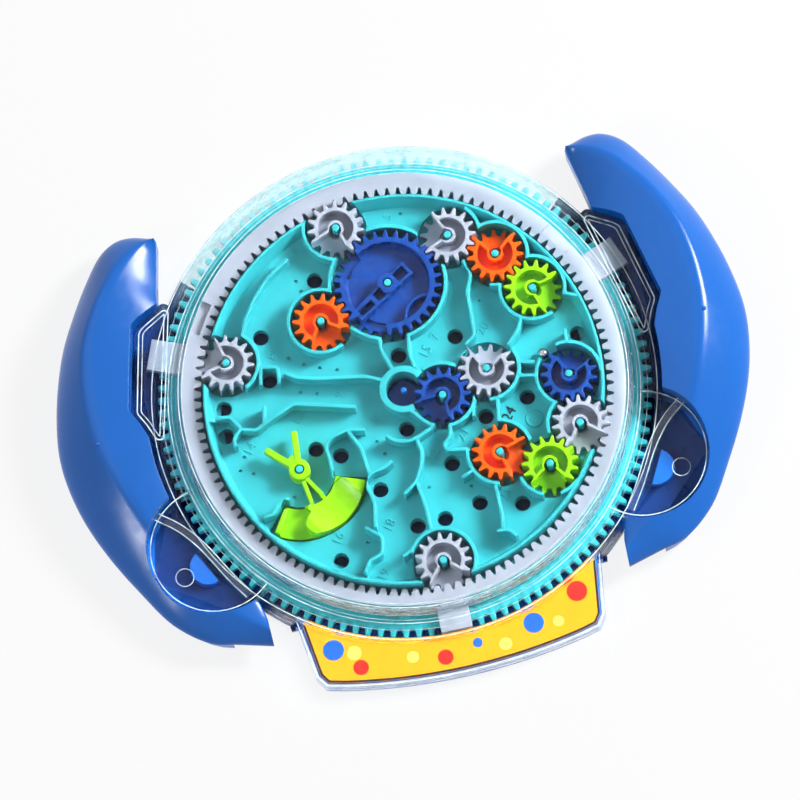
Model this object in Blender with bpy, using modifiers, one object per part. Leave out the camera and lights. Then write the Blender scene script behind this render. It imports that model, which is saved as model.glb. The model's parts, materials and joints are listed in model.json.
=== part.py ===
"""Hand-held gear ball maze: a thumb-turned drum carries the maze and its gears inside a fixed toothed ring.

Metres, +Z up. The origin is on the drum's axis, on the surface that the toy rests on.
+X points to the right handle and +Y to the side away from the label.
"""
import math

import bmesh
import bpy
from mathutils import Matrix, Vector

MM = 0.001

# Clearances and walls
GAP = 0.3 * MM
CLEAR_WALL = 1.4 * MM
WELD = 0.001 * MM
FLAT_ANGLE = 0.002

# Heights above the surface that the toy rests on
BASE_FLOOR = 2.0 * MM
FLANGE_BOTTOM = 4.0 * MM
FLANGE_THICKNESS = 4.0 * MM
BOARD_BOTTOM = 7.0 * MM
BOARD_TOP = 12.4 * MM
POCKET_DEPTH = 3.4 * MM
WALL_HEIGHT = 8.4 * MM
GEAR_BELOW_WALL = 0.4 * MM
POST_ABOVE_WALL = 0.2 * MM
WINDOW_CLEARANCE = 0.4 * MM
WINDOW_THICKNESS = 1.6 * MM
LEDGE_UNDERSIDE = 13.0 * MM
SEAM_HEIGHT = 9.7 * MM

FLANGE_TOP = FLANGE_BOTTOM + FLANGE_THICKNESS
POCKET_FLOOR = BOARD_TOP - POCKET_DEPTH
WALL_TOP = BOARD_TOP + WALL_HEIGHT
GEAR_BOTTOM = POCKET_FLOOR + GAP
GEAR_TOP = WALL_TOP - GEAR_BELOW_WALL
POST_TOP = WALL_TOP + POST_ABOVE_WALL
WINDOW_UNDERSIDE = POST_TOP + WINDOW_CLEARANCE
WINDOW_TOP = WINDOW_UNDERSIDE + WINDOW_THICKNESS

# Gear teeth, in proportion to the module
MODULE = 1.4 * MM
SMALL_TEETH = 15
BIG_TEETH = 30
RING_TEETH = 120
SUN_TEETH = 8
ADDENDUM = 0.857 * MODULE
DEDENDUM = 1.214 * MODULE
TIP_WIDTH = 0.643 * MODULE
ROOT_WIDTH = 1.571 * MODULE
RING_TIP_WIDTH = 0.357 * MODULE
RING_ADDENDUM = 0.929 * MODULE
RING_DEDENDUM = 1.786 * MODULE
SMALL_PITCH_RADIUS = MODULE * SMALL_TEETH / 2
BIG_PITCH_RADIUS = MODULE * BIG_TEETH / 2
RING_PITCH_RADIUS = MODULE * RING_TEETH / 2
SUN_PITCH_RADIUS = MODULE * SUN_TEETH / 2

# Gear bodies
POST_RADIUS = 1.75 * MM
BORE_RADIUS = POST_RADIUS + GAP
HUB_WALL = 1.25 * MM
HUB_RADIUS = BORE_RADIUS + HUB_WALL
DISH_WALL = 1.5 * MM
DISH_RADIUS = SMALL_PITCH_RADIUS - DEDENDUM - DISH_WALL
DISH_RISE = 1.4 * MM
DISH_FLOOR = BOARD_TOP + DISH_RISE
MOUTH_ANGLE = 87.0
MOUTH_WALL = 1.1 * MM
MOUTH_RISE = 2.6 * MM
POCKET_CLEARANCE = 0.9 * MM
BIG_DISH_WALL = 2.1 * MM
BIG_DISH_RADIUS = BIG_PITCH_RADIUS - DEDENDUM - BIG_DISH_WALL
BIG_HUB_WALL = 2.15 * MM
BIG_HUB_RADIUS = BORE_RADIUS + BIG_HUB_WALL
BIG_MOUTH_SPANS = (35.0, 39.0)

# Strap across the big gear's dish and its openings (x from, x to, y from, y to), in modules
STRAP_OUTLINE = ((-13.0, -3.57), (7.5, -2.57), (7.5, 2.14), (-13.0, 0.43))
STRAP_HOLES = ((-12.14, -6.79, -2.57, -0.57), (-5.43, -2.79, -2.29, 0.43), (2.57, 6.57, -1.79, 1.29))
STRAP_DIRECTION = 29.0
STRAP_DROP = 1.2 * MM

# Curved rib beside the strap
LENS_DISTANCE = 15.36 * MODULE
LENS_INNER_RADIUS = 6.0 * MODULE
LENS_OUTER_RADIUS = 6.86 * MODULE
LENS_DIRECTION = -52.5
LENS_SPAN = 124.0

# Fixed ring gear
RING_WALL = 4.1 * MM
RING_OUTER_RADIUS = RING_PITCH_RADIUS + RING_DEDENDUM + RING_WALL
RING_LIFT = 0.8 * MM
RING_HEIGHT = 8.2 * MM
RING_BOTTOM = FLANGE_TOP + RING_LIFT
RING_TOP = RING_BOTTOM + RING_HEIGHT
RECESS_DEPTH = 2.5 * MM
RECESS_ANGLES = (33.0, 147.0)
RECESS_SPAN = 9.0

# Maze drum
BOARD_INSET = 4.3 * MM
BOARD_RADIUS = RING_PITCH_RADIUS - RING_ADDENDUM - BOARD_INSET
WALL_THICKNESS = 1.4 * MM
WALL_ROOT = 1.0 * MM
THUMB_TEETH = 120
THUMB_REACH = 10.4 * MM
THUMB_TOOTH_HEIGHT = 3.4 * MM
THUMB_TIP_RADIUS = RING_OUTER_RADIUS + THUMB_REACH
THUMB_ROOT_RADIUS = THUMB_TIP_RADIUS - THUMB_TOOTH_HEIGHT
THUMB_TIP_WIDTH = 1.7 * MM
THUMB_ROOT_WIDTH = 3.0 * MM
FLANGE_OVERLAP = 3.4 * MM
FLANGE_HOLE_RADIUS = BOARD_RADIUS - FLANGE_OVERLAP
WELL_CLEARANCE = 0.5 * MM
WELL_RADIUS = SUN_PITCH_RADIUS + ADDENDUM + WELL_CLEARANCE
WELL_WALL = 2.6 * MM
BALL_HOLE_RADIUS = 3.2 * MM
BALL_RADIUS = 2.4 * MM
BALL_PLACE = (41.86, 2.14)

# Clear cover and base
FLANGE_CLEARANCE = 0.8 * MM
WINDOW_MARGIN = 0.2 * MM
WINDOW_RADIUS = RING_OUTER_RADIUS + WINDOW_MARGIN
WINDOW_EDGE = 1.0 * MM
WINDOW_SLOPE = 2.8 * MM
LEDGE_INNER_RADIUS = WINDOW_RADIUS + WINDOW_SLOPE
BRIDGE_WIDTH = 3.7 * MM
BRIDGE_RADIUS = LEDGE_INNER_RADIUS + BRIDGE_WIDTH
SKIRT_MARGIN = 0.6 * MM
SKIRT_TAPER = 1.5 * MM
SKIRT_TOP_RADIUS = THUMB_TIP_RADIUS + FLANGE_CLEARANCE + CLEAR_WALL + SKIRT_MARGIN
SKIRT_RADIUS = SKIRT_TOP_RADIUS + SKIRT_TAPER
THUMB_WELL_RADIUS = 25.5 * MM
THUMB_WELL_FLOOR = 7.4 * MM
THUMB_WELL_TOP = 16.0 * MM
PAD_RADIUS = 7.8 * MM
PAD_FACING = 207.0
EAR_FLOOR_RIM = 2.0 * MM
LOCATING_RIM_HEIGHT = 1.6 * MM
LOCATING_RIM_WALL = 1.1 * MM
TRACK_MARGIN = 0.4 * MM
TRACK_RADIUS = RING_OUTER_RADIUS + TRACK_MARGIN
TRACK_WIDTH = 2.0 * MM

# Tabs of the ring gear
TAB_WIDTH = 13.0 * MM
TAB_THICKNESS = 3.2 * MM
TAB_POST_WIDTH = 10.0 * MM
TAB_ANGLES = (-90.0, 22.0, 158.0)
TAB_OVERHANG = 0.7 * MM
FRONT_TAB_OVERHANG = 0.2 * MM
SIDE_TAB_REACH = SKIRT_RADIUS + TAB_OVERHANG
FRONT_TAB_REACH = THUMB_TIP_RADIUS + FRONT_TAB_OVERHANG

# Outlines of the left side, millimetres: x from the skirt's side towards the axis, y from the axis
EAR_OUTLINE = ((21.3, 56.0), (16.7, 59.3), (5.8, 53.2), (2.5, 50.6), (-5.7, 15.6),
               (-2.5, 9.6), (0.8, 1.0), (7.3, 0.0))
THUMB_WELL_PLACE = (15.8, -47.0)
PAD_PLACE = (11.7, -51.3)
HANDLE_SCREWS = ((-15.7, 52.0), (-21.7, 0.0), (1.3, -75.0))

# Label bay: right corners as millimetres from the axis and from the skirt's front towards the axis
LABEL_SIDE = ((62.0, 27.3), (66.2, 22.8), (61.6, -4.2), (58.6, -9.3))
LABEL_REACH = 16.7 * MM
LABEL_CORNER_X = 50.0
LABEL_ARC_RADIUS = 300.0
LABEL_ARC_STEPS = 8
LABEL_WINDOW_UNDERSIDE = 8.8 * MM
LABEL_CARD_THICKNESS = 0.4 * MM
LABEL_DECK = 7.2 * MM
LABEL_RIM = 2.2 * MM

# Screws from the back
SCREW_HEAD_RADIUS = 2.6 * MM
SCREW_HEAD_HEIGHT = 1.6 * MM
SCREW_HEAD_EDGE = 0.5 * MM
SCREW_SINK = 2.4 * MM
SCREW_SHANK_RADIUS = 1.2 * MM
HANDLE_SCREW_LENGTH = 10.4 * MM
TAB_SCREW_LENGTH = 7.6 * MM
TAB_SCREW_INSET = 2.0 * MM
TAB_SCREW_RADIUS = SIDE_TAB_REACH - TAB_SCREW_INSET

# Ribs of the left handle, outer end then inner end, from the upper horn to the lower one
HANDLE_RIBS = (
    ((18.3, 86.9), (19.7, 84.6)),
    ((10.3, 89.6), (18.5, 79.0)),
    ((2.8, 89.2), (17.0, 72.0)),
    ((-4.7, 84.5), (15.3, 64.0)),
    ((-12.2, 74.8), (13.8, 56.5)),
    ((-19.7, 63.0), (9.3, 48.0)),
    ((-26.9, 49.8), (5.8, 38.0)),
    ((-32.2, 35.5), (4.3, 26.0)),
    ((-35.9, 21.0), (3.3, 14.0)),
    ((-37.9, 6.3), (2.8, 3.0)),
    ((-37.0, -8.0), (2.8, -8.0)),
    ((-33.2, -24.0), (4.3, -19.0)),
    ((-26.2, -41.0), (8.3, -32.0)),
    ((-17.2, -57.5), (14.3, -45.0)),
    ((-7.2, -73.2), (20.8, -57.5)),
    ((6.0, -84.0), (26.8, -67.0)),
    ((18.8, -89.3), (29.8, -75.0)),
    ((31.2, -92.9), (31.0, -82.1)),
)
HANDLE_CREST = 27.5 * MM
HANDLE_HORN = 14.5 * MM
HANDLE_INNER_SHARE = 0.55
HANDLE_FOOT_INSET = 5.0 * MM

# Gear train: name, neighbour that it meshes with, direction from that neighbour's centre,
# directions of its mouths, finish
GEAR_TRAIN = (
    ("gear_grey_1", "ring_gear", 100.0, (244.5,), "grey"),
    ("gear_grey_2", "ring_gear", 158.4, (146.0,), "grey"),
    ("gear_grey_3", "ring_gear", -23.8, (279.0,), "grey"),
    ("gear_grey_4", "ring_gear", -89.5, (274.5,), "grey"),
    ("gear_blue_big", "gear_grey_1", -59.8, (140.0, 236.5), "blue"),
    ("gear_grey_5", "gear_blue_big", 26.7, (158.5,), "grey"),
    ("gear_orange_1", "gear_blue_big", 197.9, (282.5,), "orange"),
    ("gear_orange_2", "gear_grey_5", -34.8, (83.5,), "orange"),
    ("gear_lime_1", "gear_orange_2", -55.8, (329.5,), "lime"),
    ("gear_blue_1", "gear_grey_3", 90.5, (66.5,), "blue"),
    ("gear_lime_2", "gear_grey_3", 221.8, (260.5,), "lime"),
    ("gear_orange_3", "gear_lime_2", 153.7, (332.5,), "orange"),
    ("gear_blue_2", "sun_pinion", -21.1, (227.5,), "blue"),
    ("gear_grey_6", "gear_blue_2", 19.2, (75.5,), "grey"),
)

# Tilt lever, its pivot in modules
LEVER_PLACE = (-34.64, -16.64)
LEVER_HUB_RADIUS = 4.4 * MM
LEVER_PAN_INNER = 10.57 * MODULE
LEVER_PAN_OUTER = 19.57 * MODULE
LEVER_PAN_START = -124.0
LEVER_PAN_STEP = -95.0
LEVER_PAN_END = -21.0
LEVER_PAN_TOP = 18.0 * MM
LEVER_ARMS = (136.5, 86.0)
LEVER_STRUTS = (-81.5, -59.0)
LEVER_ARM_REACH = 11.57 * MODULE
LEVER_ARM_WIDTH = 2.2 * MM
LEVER_STRUT_WIDTH = 1.2 * MM
LEVER_ARM_HEIGHT = 4.0 * MM
PAN_END_INSET = 2.0 * MM
PAN_END_SPAN = 5.0
SCOOP_RADIUS = 20.0 * MM
SCOOP_DEPTH = 3.4 * MM
SCOOP_SHIFT = 6.0 * MM
SUN_DROP = 3.0 * MM
LEVER_PLAY = 5.0

# Centre lines of the maze walls in modules, so that they keep their place among the gears
MAZE_WALLS = (
    ((-24.64, 45.71), (-32.14, 41.07), (-36.79, 36.07), (-40.71, 30.36), (-43.21, 24.29)),
    ((-40.36, 10.36), (-39.29, 15.71), (-34.29, 14.64), (-35.0, 9.64)),
    ((-32.86, 12.5), (-29.64, 10.36), (-23.57, 8.57), (-9.64, 6.07), (-5.36, 3.93)),
    ((-10.71, 21.43), (-7.86, 18.57), (-3.57, 16.79), (-3.93, 13.21), (-1.79, 6.07)),
    ((12.14, 46.43), (13.57, 44.29), (14.64, 47.86)),
    ((5.0, 17.14), (3.93, 10.0), (4.64, 5.36)),
    ((25.0, 33.93), (26.43, 29.64), (24.29, 24.29), (23.57, 11.07), (20.36, 8.93)),
    ((31.07, 25.0), (35.36, 23.93)),
    ((38.21, 13.93), (36.43, 10.0), (32.5, 6.07)),
    ((33.93, 0.71), (38.93, -0.71)),
    ((33.57, -3.57), (38.93, -4.64)),
    ((49.64, 7.14), (49.29, 2.5)),
    ((51.43, 17.86), (55.36, 16.07)),
    ((-55.36, 3.57), (-51.07, 3.21), (-48.57, -1.07), (-51.43, -3.57), (-51.07, -6.07)),
    ((-48.93, -1.07), (-44.29, -2.5), (-41.07, -0.71), (-32.14, 2.86), (-27.14, 1.43), (-14.64, -2.14)),
    ((-40.71, 4.29), (-41.79, -1.43)),
    ((-47.5, -28.21), (-45.0, -28.21), (-41.79, -25.0), (-39.29, -24.64)),
    ((-25.36, -20.71), (-25.36, -16.07), (-25.71, -11.43),
     (-23.57, -9.29), (-18.57, -8.21), (-13.57, -9.29)),
    ((-18.57, -8.21), (-15.71, -14.64), (-15.0, -22.86)),
    ((-7.86, -12.5), (-5.71, -14.64), (-1.43, -15.71), (1.79, -14.64)),
    ((-7.86, -20.36), (-10.0, -21.79), (-13.93, -22.14),
     (-16.79, -24.29), (-15.36, -31.07), (-16.79, -38.57)),
    ((-19.64, -37.86), (-15.36, -41.79), (-16.43, -46.79), (-20.36, -47.86), (-22.5, -51.07)),
    ((0.36, -6.43), (6.07, -12.86), (0.36, -15.36), (1.43, -18.93),
     (0.36, -23.21), (-2.14, -27.86), (-6.43, -30.71)),
    ((-2.14, -27.86), (-1.07, -36.07), (-1.07, -44.29)),
    ((11.07, -12.86), (10.36, -16.79), (7.86, -18.93), (8.57, -20.71), (14.64, -21.79)),
    ((11.07, -29.64), (14.64, -28.21)),
    ((26.07, -8.57), (25.0, -15.71)),
    ((19.29, -6.43), (18.21, -12.5)),
    ((20.0, -33.93), (20.0, -42.86), (19.29, -47.14)),
    ((17.5, -47.5), (21.07, -47.86), (22.86, -50.36)),
    ((-10.71, -48.93), (-7.86, -47.5)),
)

# Pocket walls: gear, first and last direction seen from its centre
POCKET_WALLS = (
    ("gear_grey_1", 158.0, 262.0), ("gear_grey_2", 296.0, 410.0), ("gear_grey_3", 122.0, 200.0),
    ("gear_grey_4", -30.0, 154.0), ("gear_blue_big", 138.0, 180.0), ("gear_blue_big", 216.0, 252.0),
    ("gear_blue_big", 279.0, 368.0), ("gear_blue_big", 47.0, 100.0), ("gear_grey_5", -3.0, 46.0),
    ("gear_orange_1", 55.0, 300.0), ("gear_orange_2", -28.0, 112.0), ("gear_lime_1", -26.0, 90.0),
    ("gear_lime_1", 160.0, 296.0), ("gear_grey_6", 263.0, 387.0), ("gear_blue_2", 200.0, 244.0),
    ("gear_blue_2", 46.0, 116.0), ("gear_blue_2", 272.0, 338.0), ("gear_blue_1", 138.0, 242.0),
    ("gear_blue_1", -8.0, 102.0), ("gear_orange_3", 162.0, 257.0), ("gear_orange_3", 0.0, 82.0),
    ("gear_lime_2", 193.0, 246.0), ("gear_lime_2", 277.0, 316.0),
)

# Holes that trap the ball, in modules
BALL_HOLES = (
    (-18.36, 38.86), (-37.21, 25.64), (-37.43, 12.57), (0.79, 11.5), (-52.14, 7.21), (-53.14, -0.93),
    (-28.57, -10.5), (-21.93, -14.0), (-1.5, -10.5), (-12.86, -26.5), (-28.43, -44.57), (-4.57, -39.43),
    (18.0, 13.36), (52.86, 6.21), (34.57, -9.0), (21.64, -12.0), (9.07, -23.5), (14.5, -36.64),
    (26.5, -39.64), (3.64, -39.07),
)

# Facets round the larger and smaller circles
STEPS_LARGE = 72
STEPS_WELL = 32
STEPS_HUB = 20
STEPS_HOLE = 12
STEPS_POST = 8

# Colour, roughness and alpha of each finish
FINISHES = {
    "base": ((0.008, 0.125, 0.610), 0.28, 1.0),
    "cyan": ((0.040, 0.680, 0.750), 0.38, 1.0),
    "grey": ((0.600, 0.620, 0.700), 0.40, 1.0),
    "orange": ((1.000, 0.150, 0.003), 0.32, 1.0),
    "lime": ((0.350, 0.750, 0.004), 0.32, 1.0),
    "blue": ((0.010, 0.080, 0.580), 0.30, 1.0),
    "clear": ((0.900, 0.950, 0.970), 0.05, 0.25),
    "card": ((1.000, 0.450, 0.003), 0.45, 1.0),
    "steel": ((0.620, 0.620, 0.640), 0.12, 1.0),
}
METALS = ("steel",)


# Scene and objects

def clear_scene():
    """Empty the scene."""
    for obj in list(bpy.data.objects):
        bpy.data.objects.remove(obj, do_unlink=True)


def collection(name, parent=None):
    """Return a new collection under parent or under the scene."""
    group = bpy.data.collections.new(name)
    holder = parent.children if parent else bpy.context.scene.collection.children
    holder.link(group)
    return group


def finish(name):
    """Return the material of a finish, made once."""
    if name in bpy.data.materials:
        return bpy.data.materials[name]
    colour, roughness, alpha = FINISHES[name]
    material = bpy.data.materials.new(name)
    material.use_nodes = True
    shader = material.node_tree.nodes["Principled BSDF"]
    shader.inputs["Base Color"].default_value = (*colour, 1.0)
    shader.inputs["Roughness"].default_value = roughness
    shader.inputs["Metallic"].default_value = 1.0 if name in METALS else 0.0
    shader.inputs["Alpha"].default_value = alpha
    return material


def mesh_object(name, mesh, group, material=None):
    """Put a mesh in a collection as a named object; without a material it is a cutter or a blank."""
    obj = bpy.data.objects.new(name, mesh)
    group.objects.link(obj)
    if material:
        mesh.materials.append(finish(material))
        mesh.shade_smooth()
        mesh.set_sharp_from_angle(angle=math.radians(30.0))
    else:
        obj.hide_render = True
        obj.display_type = "WIRE"
    return obj


def from_bmesh(name, shape, group, material=None):
    """Turn a bmesh into an object."""
    bmesh.ops.recalc_face_normals(shape, faces=shape.faces)
    mesh = bpy.data.meshes.new(name)
    shape.to_mesh(mesh)
    shape.free()
    return mesh_object(name, mesh, group, material)


def level(shape, low, high):
    """Set the two caps of an upright shape exactly at their heights."""
    for vertex in shape.verts:
        vertex.co.z = high if vertex.co.z > 0.0 else low


def plate(name, loops, low, high, group, material=None, merge=False):
    """Extrude a flat outline whose further loops are its holes, and merge the cap faces on request."""
    curve = bpy.data.curves.new(name, "CURVE")
    curve.dimensions = "2D"
    curve.fill_mode = "BOTH"
    curve.extrude = (high - low) / 2
    for loop in loops:
        spline = curve.splines.new("POLY")
        spline.points.add(len(loop) - 1)
        for point, (x, y) in zip(spline.points, loop):
            point.co = (x, y, 0.0, 1.0)
        spline.use_cyclic_u = True
    source = bpy.data.objects.new(name + "_outline", curve)
    mesh = bpy.data.meshes.new_from_object(source)
    bpy.data.objects.remove(source, do_unlink=True)
    shape = bmesh.new()
    shape.from_mesh(mesh)
    bpy.data.meshes.remove(mesh)
    bmesh.ops.remove_doubles(shape, verts=shape.verts, dist=WELD)
    level(shape, low, high)
    if merge:
        bmesh.ops.dissolve_limit(shape, angle_limit=FLAT_ANGLE, verts=shape.verts, edges=shape.edges)
    return from_bmesh(name, shape, group, material)


def turned(name, profile, steps, group, material=None, closed=False):
    """Turn a profile of (radius, height) points about Z; it runs down the outer side."""
    mesh = bpy.data.meshes.new(name)
    edges = [(i, i + 1) for i in range(len(profile) - 1)]
    if closed:
        edges.append((len(profile) - 1, 0))
    mesh.from_pydata([(r, 0.0, z) for r, z in profile], edges, [])
    obj = mesh_object(name, mesh, group, material)
    screw = obj.modifiers.new("turn", "SCREW")
    screw.steps = steps
    screw.render_steps = steps
    screw.use_merge_vertices = True
    screw.merge_threshold = WELD
    screw.use_smooth_shade = True
    return obj


def cylinder(name, place, radius, low, high, steps, group, material=None):
    """Make an upright cylinder."""
    shape = bmesh.new()
    bmesh.ops.create_cone(shape, cap_ends=True, segments=round(steps), radius1=radius, radius2=radius,
                          depth=high - low)
    level(shape, low, high)
    bmesh.ops.translate(shape, verts=shape.verts, vec=(place[0], place[1], 0.0))
    return from_bmesh(name, shape, group, material)


def tub(name, radius, wall, low, floor, high, steps, group, material=None):
    """Make a round floor with a rim in one piece."""
    shape = bmesh.new()
    bmesh.ops.create_cone(shape, cap_ends=True, segments=round(steps), radius1=radius, radius2=radius,
                          depth=high - low)
    level(shape, low, high)
    top = max(shape.faces, key=lambda face: face.calc_center_median().z)
    bmesh.ops.inset_region(shape, faces=[top], thickness=wall)
    inset = bmesh.ops.extrude_discrete_faces(shape, faces=[top])["faces"]
    for vertex in inset[0].verts:
        vertex.co.z = floor
    return from_bmesh(name, shape, group, material)


def loft(name, sections, group, material=None):
    """Bridge closed sections of equal point counts and cap both ends."""
    shape = bmesh.new()
    rings = [[shape.verts.new(point) for point in section] for section in sections]
    count = len(sections[0])
    for ring, following in zip(rings, rings[1:]):
        for i in range(count):
            j = (i + 1) % count
            shape.faces.new((ring[i], ring[j], following[j], following[i]))
    shape.faces.new(reversed(rings[0]))
    shape.faces.new(rings[-1])
    bmesh.ops.triangulate(shape, faces=shape.faces)
    return from_bmesh(name, shape, group, material)


def combine(obj, operation, group):
    """Add or cut everything in a collection."""
    boolean = obj.modifiers.new(operation.lower(), "BOOLEAN")
    boolean.operation = operation
    boolean.operand_type = "COLLECTION"
    boolean.collection = group
    boolean.solver = "EXACT"


def merge_flats(obj):
    """Join neighbouring faces that lie in one plane."""
    merger = obj.modifiers.new("merge_flats", "DECIMATE")
    merger.decimate_type = "DISSOLVE"
    merger.angle_limit = FLAT_ANGLE


# Plane geometry

def side_points(points, side=-1):
    """Return points drawn from the skirt's left side, mirrored for side 1."""
    return [((SKIRT_RADIUS - x * MM) * side, y * MM) for x, y in points]


def laid(points):
    """Return points of the maze, given in modules, in metres."""
    return [(x * MODULE, y * MODULE) for x, y in points]


def polar(radius, degrees, centre=(0.0, 0.0)):
    """Return the point at a radius and a direction from a centre."""
    angle = math.radians(degrees)
    return (centre[0] + radius * math.cos(angle), centre[1] + radius * math.sin(angle))


def arc(centre, radius, first, last, steps):
    """Return points along an arc, both ends included."""
    return [polar(radius, first + (last - first) * i / steps, centre) for i in range(steps + 1)]


def circle(radius, steps, centre=(0.0, 0.0)):
    """Return the points of a circle."""
    return [polar(radius, 360.0 * i / steps, centre) for i in range(steps)]


def ring_sector(centre, inner, outer, first, last, steps):
    """Return the outline of a stretch of a ring."""
    return arc(centre, outer, first, last, steps) + arc(centre, inner, last, first, steps)


def offset_line(points, distance, closed):
    """Shift a line to its right by a distance, with mitred corners."""
    line = [Vector(point) for point in points]
    count = len(line)
    shifted = []
    for i, point in enumerate(line):
        before = line[i - 1] if closed or i > 0 else None
        after = line[(i + 1) % count] if closed or i < count - 1 else None
        normals = []
        for start, end in ((before, point), (point, after)):
            if start is not None and end is not None:
                run = (end - start).normalized()
                normals.append(Vector((run.y, -run.x)))
        mitre = sum(normals, Vector((0.0, 0.0))).normalized()
        shifted.append(tuple(point + mitre * distance / mitre.dot(normals[0])))
    return shifted


def grow(points, distance):
    """Offset a closed outline outwards, whichever way it runs."""
    area = sum(a[0] * b[1] - b[0] * a[1] for a, b in zip(points, points[1:] + points[:1]))
    return offset_line(points, distance if area > 0 else -distance, True)


def band(points, width):
    """Return the outline of a wall with the given centre line."""
    return offset_line(points, width / 2, False) + offset_line(points, -width / 2, False)[::-1]


def smooth(value):
    """Ease a value from 0 to 1."""
    value = min(max(value, 0.0), 1.0)
    return value * value * (3 - 2 * value)


def through(points, parts):
    """Return points on a smooth curve through the given ones, with so many parts a span."""
    line = [Vector(point) for point in points]
    result = []
    for i in range(len(line) - 1):
        p0, p1, p2, p3 = (line[min(max(k, 0), len(line) - 1)] for k in (i - 1, i, i + 1, i + 2))
        for k in range(parts):
            t = k / parts
            bend = (2 * p0 - 5 * p1 + 4 * p2 - p3) * t ** 2 + (3 * p1 - p0 - 3 * p2 + p3) * t ** 3
            result.append((2 * p1 + (p2 - p0) * t + bend) / 2)
    return result + [line[-1]]


# Gear train

def pitch_radius(teeth):
    """Return the pitch radius of a gear."""
    return MODULE * teeth / 2


def tooth_count(name):
    """Return how many teeth a gear has."""
    counts = {"ring_gear": RING_TEETH, "sun_pinion": SUN_TEETH, "gear_blue_big": BIG_TEETH}
    return counts.get(name, SMALL_TEETH)


def gear_places():
    """Return each gear's centre and the direction of one of its teeth, so that all teeth mesh."""
    places = {"ring_gear": ((0.0, 0.0), 0.0), "sun_pinion": ((0.0, 0.0), 0.0)}
    for name, neighbour, direction, _, _ in GEAR_TRAIN:
        centre, tooth = places[neighbour]
        other = tooth_count(neighbour)
        own = tooth_count(name)
        share = (direction - tooth) * other / 360.0
        if neighbour == "ring_gear":
            distance = pitch_radius(other) - pitch_radius(own)
            turn = direction + (0.5 - share) * 360.0 / own
        else:
            distance = pitch_radius(other) + pitch_radius(own)
            turn = direction + 180.0 + (share + 0.5) * 360.0 / own
        places[name] = (polar(distance, direction, centre), turn % (360.0 / own))
    return places


def outer_teeth(teeth, tip, root, tip_width, root_width):
    """Return the outline of a gear with straight-sided teeth, one of them along +X."""
    loop = []
    for i in range(teeth):
        middle = 360.0 * i / teeth
        root_half = math.degrees(root_width / root / 2)
        tip_half = math.degrees(tip_width / tip / 2)
        loop.append(polar(root, middle - root_half))
        loop.append(polar(tip, middle - tip_half))
        loop.append(polar(tip, middle + tip_half))
        loop.append(polar(root, middle + root_half))
    return loop


def gear_outline(teeth):
    """Return the outline of one of the toy's gears."""
    pitch = pitch_radius(teeth)
    return outer_teeth(teeth, pitch + ADDENDUM, pitch - DEDENDUM, TIP_WIDTH, ROOT_WIDTH)


def inner_teeth():
    """Return the toothed inside of the ring gear, with pointed gaps."""
    pitch = pitch_radius(RING_TEETH)
    half = math.degrees(RING_TIP_WIDTH / (pitch - RING_ADDENDUM) / 2)
    loop = []
    for i in range(RING_TEETH):
        middle = 360.0 * i / RING_TEETH
        loop.append(polar(pitch - RING_ADDENDUM, middle - half))
        loop.append(polar(pitch - RING_ADDENDUM, middle + half))
        loop.append(polar(pitch + RING_DEDENDUM, middle + 180.0 / RING_TEETH))
    return loop


def mouth_cutter(name, direction, half_angle, reach, group):
    """Make the wedge that opens a gear's mouth; its floor falls from the hub to the rim."""
    spread = reach * math.tan(math.radians(half_angle))
    wedge = plate(name, [[(0.0, 0.0), (reach, -spread), (reach, spread)]], BOARD_TOP, WALL_TOP, group)
    for vertex in wedge.data.vertices:
        if vertex.co.x < reach / 2 and vertex.co.z < GEAR_TOP:
            vertex.co.z = BOARD_TOP + MOUTH_RISE
    wedge.rotation_euler.z = math.radians(direction)
    return wedge


def dish_outline(first, last):
    """Return the C-shaped dish of a small gear, which leaves a wall along each side of its mouth."""
    inner_turn = math.degrees(math.asin(MOUTH_WALL / HUB_RADIUS))
    outer_turn = math.degrees(math.asin(MOUTH_WALL / DISH_RADIUS))
    outside = arc((0.0, 0.0), DISH_RADIUS, first + outer_turn, last - outer_turn, 12)
    inside = arc((0.0, 0.0), HUB_RADIUS, last - inner_turn, first + inner_turn, 7)
    return outside + inside


def place_gear(gear, place, turn, drum, cutters):
    """Set a gear and its cutters on its post."""
    for obj in [gear] + list(cutters.objects):
        obj.location = (place[0], place[1], 0.0)
        obj.rotation_euler.z += math.radians(turn)
    gear.parent = drum


def small_gear(name, mouths, material, place, turn, drum, parts, blanks):
    """Make a gear of 15 teeth with its dish and its ball mouth."""
    cutters = collection(name + "_cutters", blanks)
    half = MOUTH_ANGLE / 2
    gear = plate(name, [gear_outline(SMALL_TEETH), circle(BORE_RADIUS, STEPS_POST)],
                 GEAR_BOTTOM, GEAR_TOP, parts, material, True)
    mouth = mouths[0] - turn
    mouth_cutter(name + "_mouth", mouth, half, SMALL_PITCH_RADIUS + MODULE * 2, cutters)
    dish = dish_outline(mouth + half, mouth + 360.0 - half)
    plate(name + "_dish", [dish], DISH_FLOOR, WALL_TOP, cutters)
    combine(gear, "DIFFERENCE", cutters)
    place_gear(gear, place, turn, drum, cutters)


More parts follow.
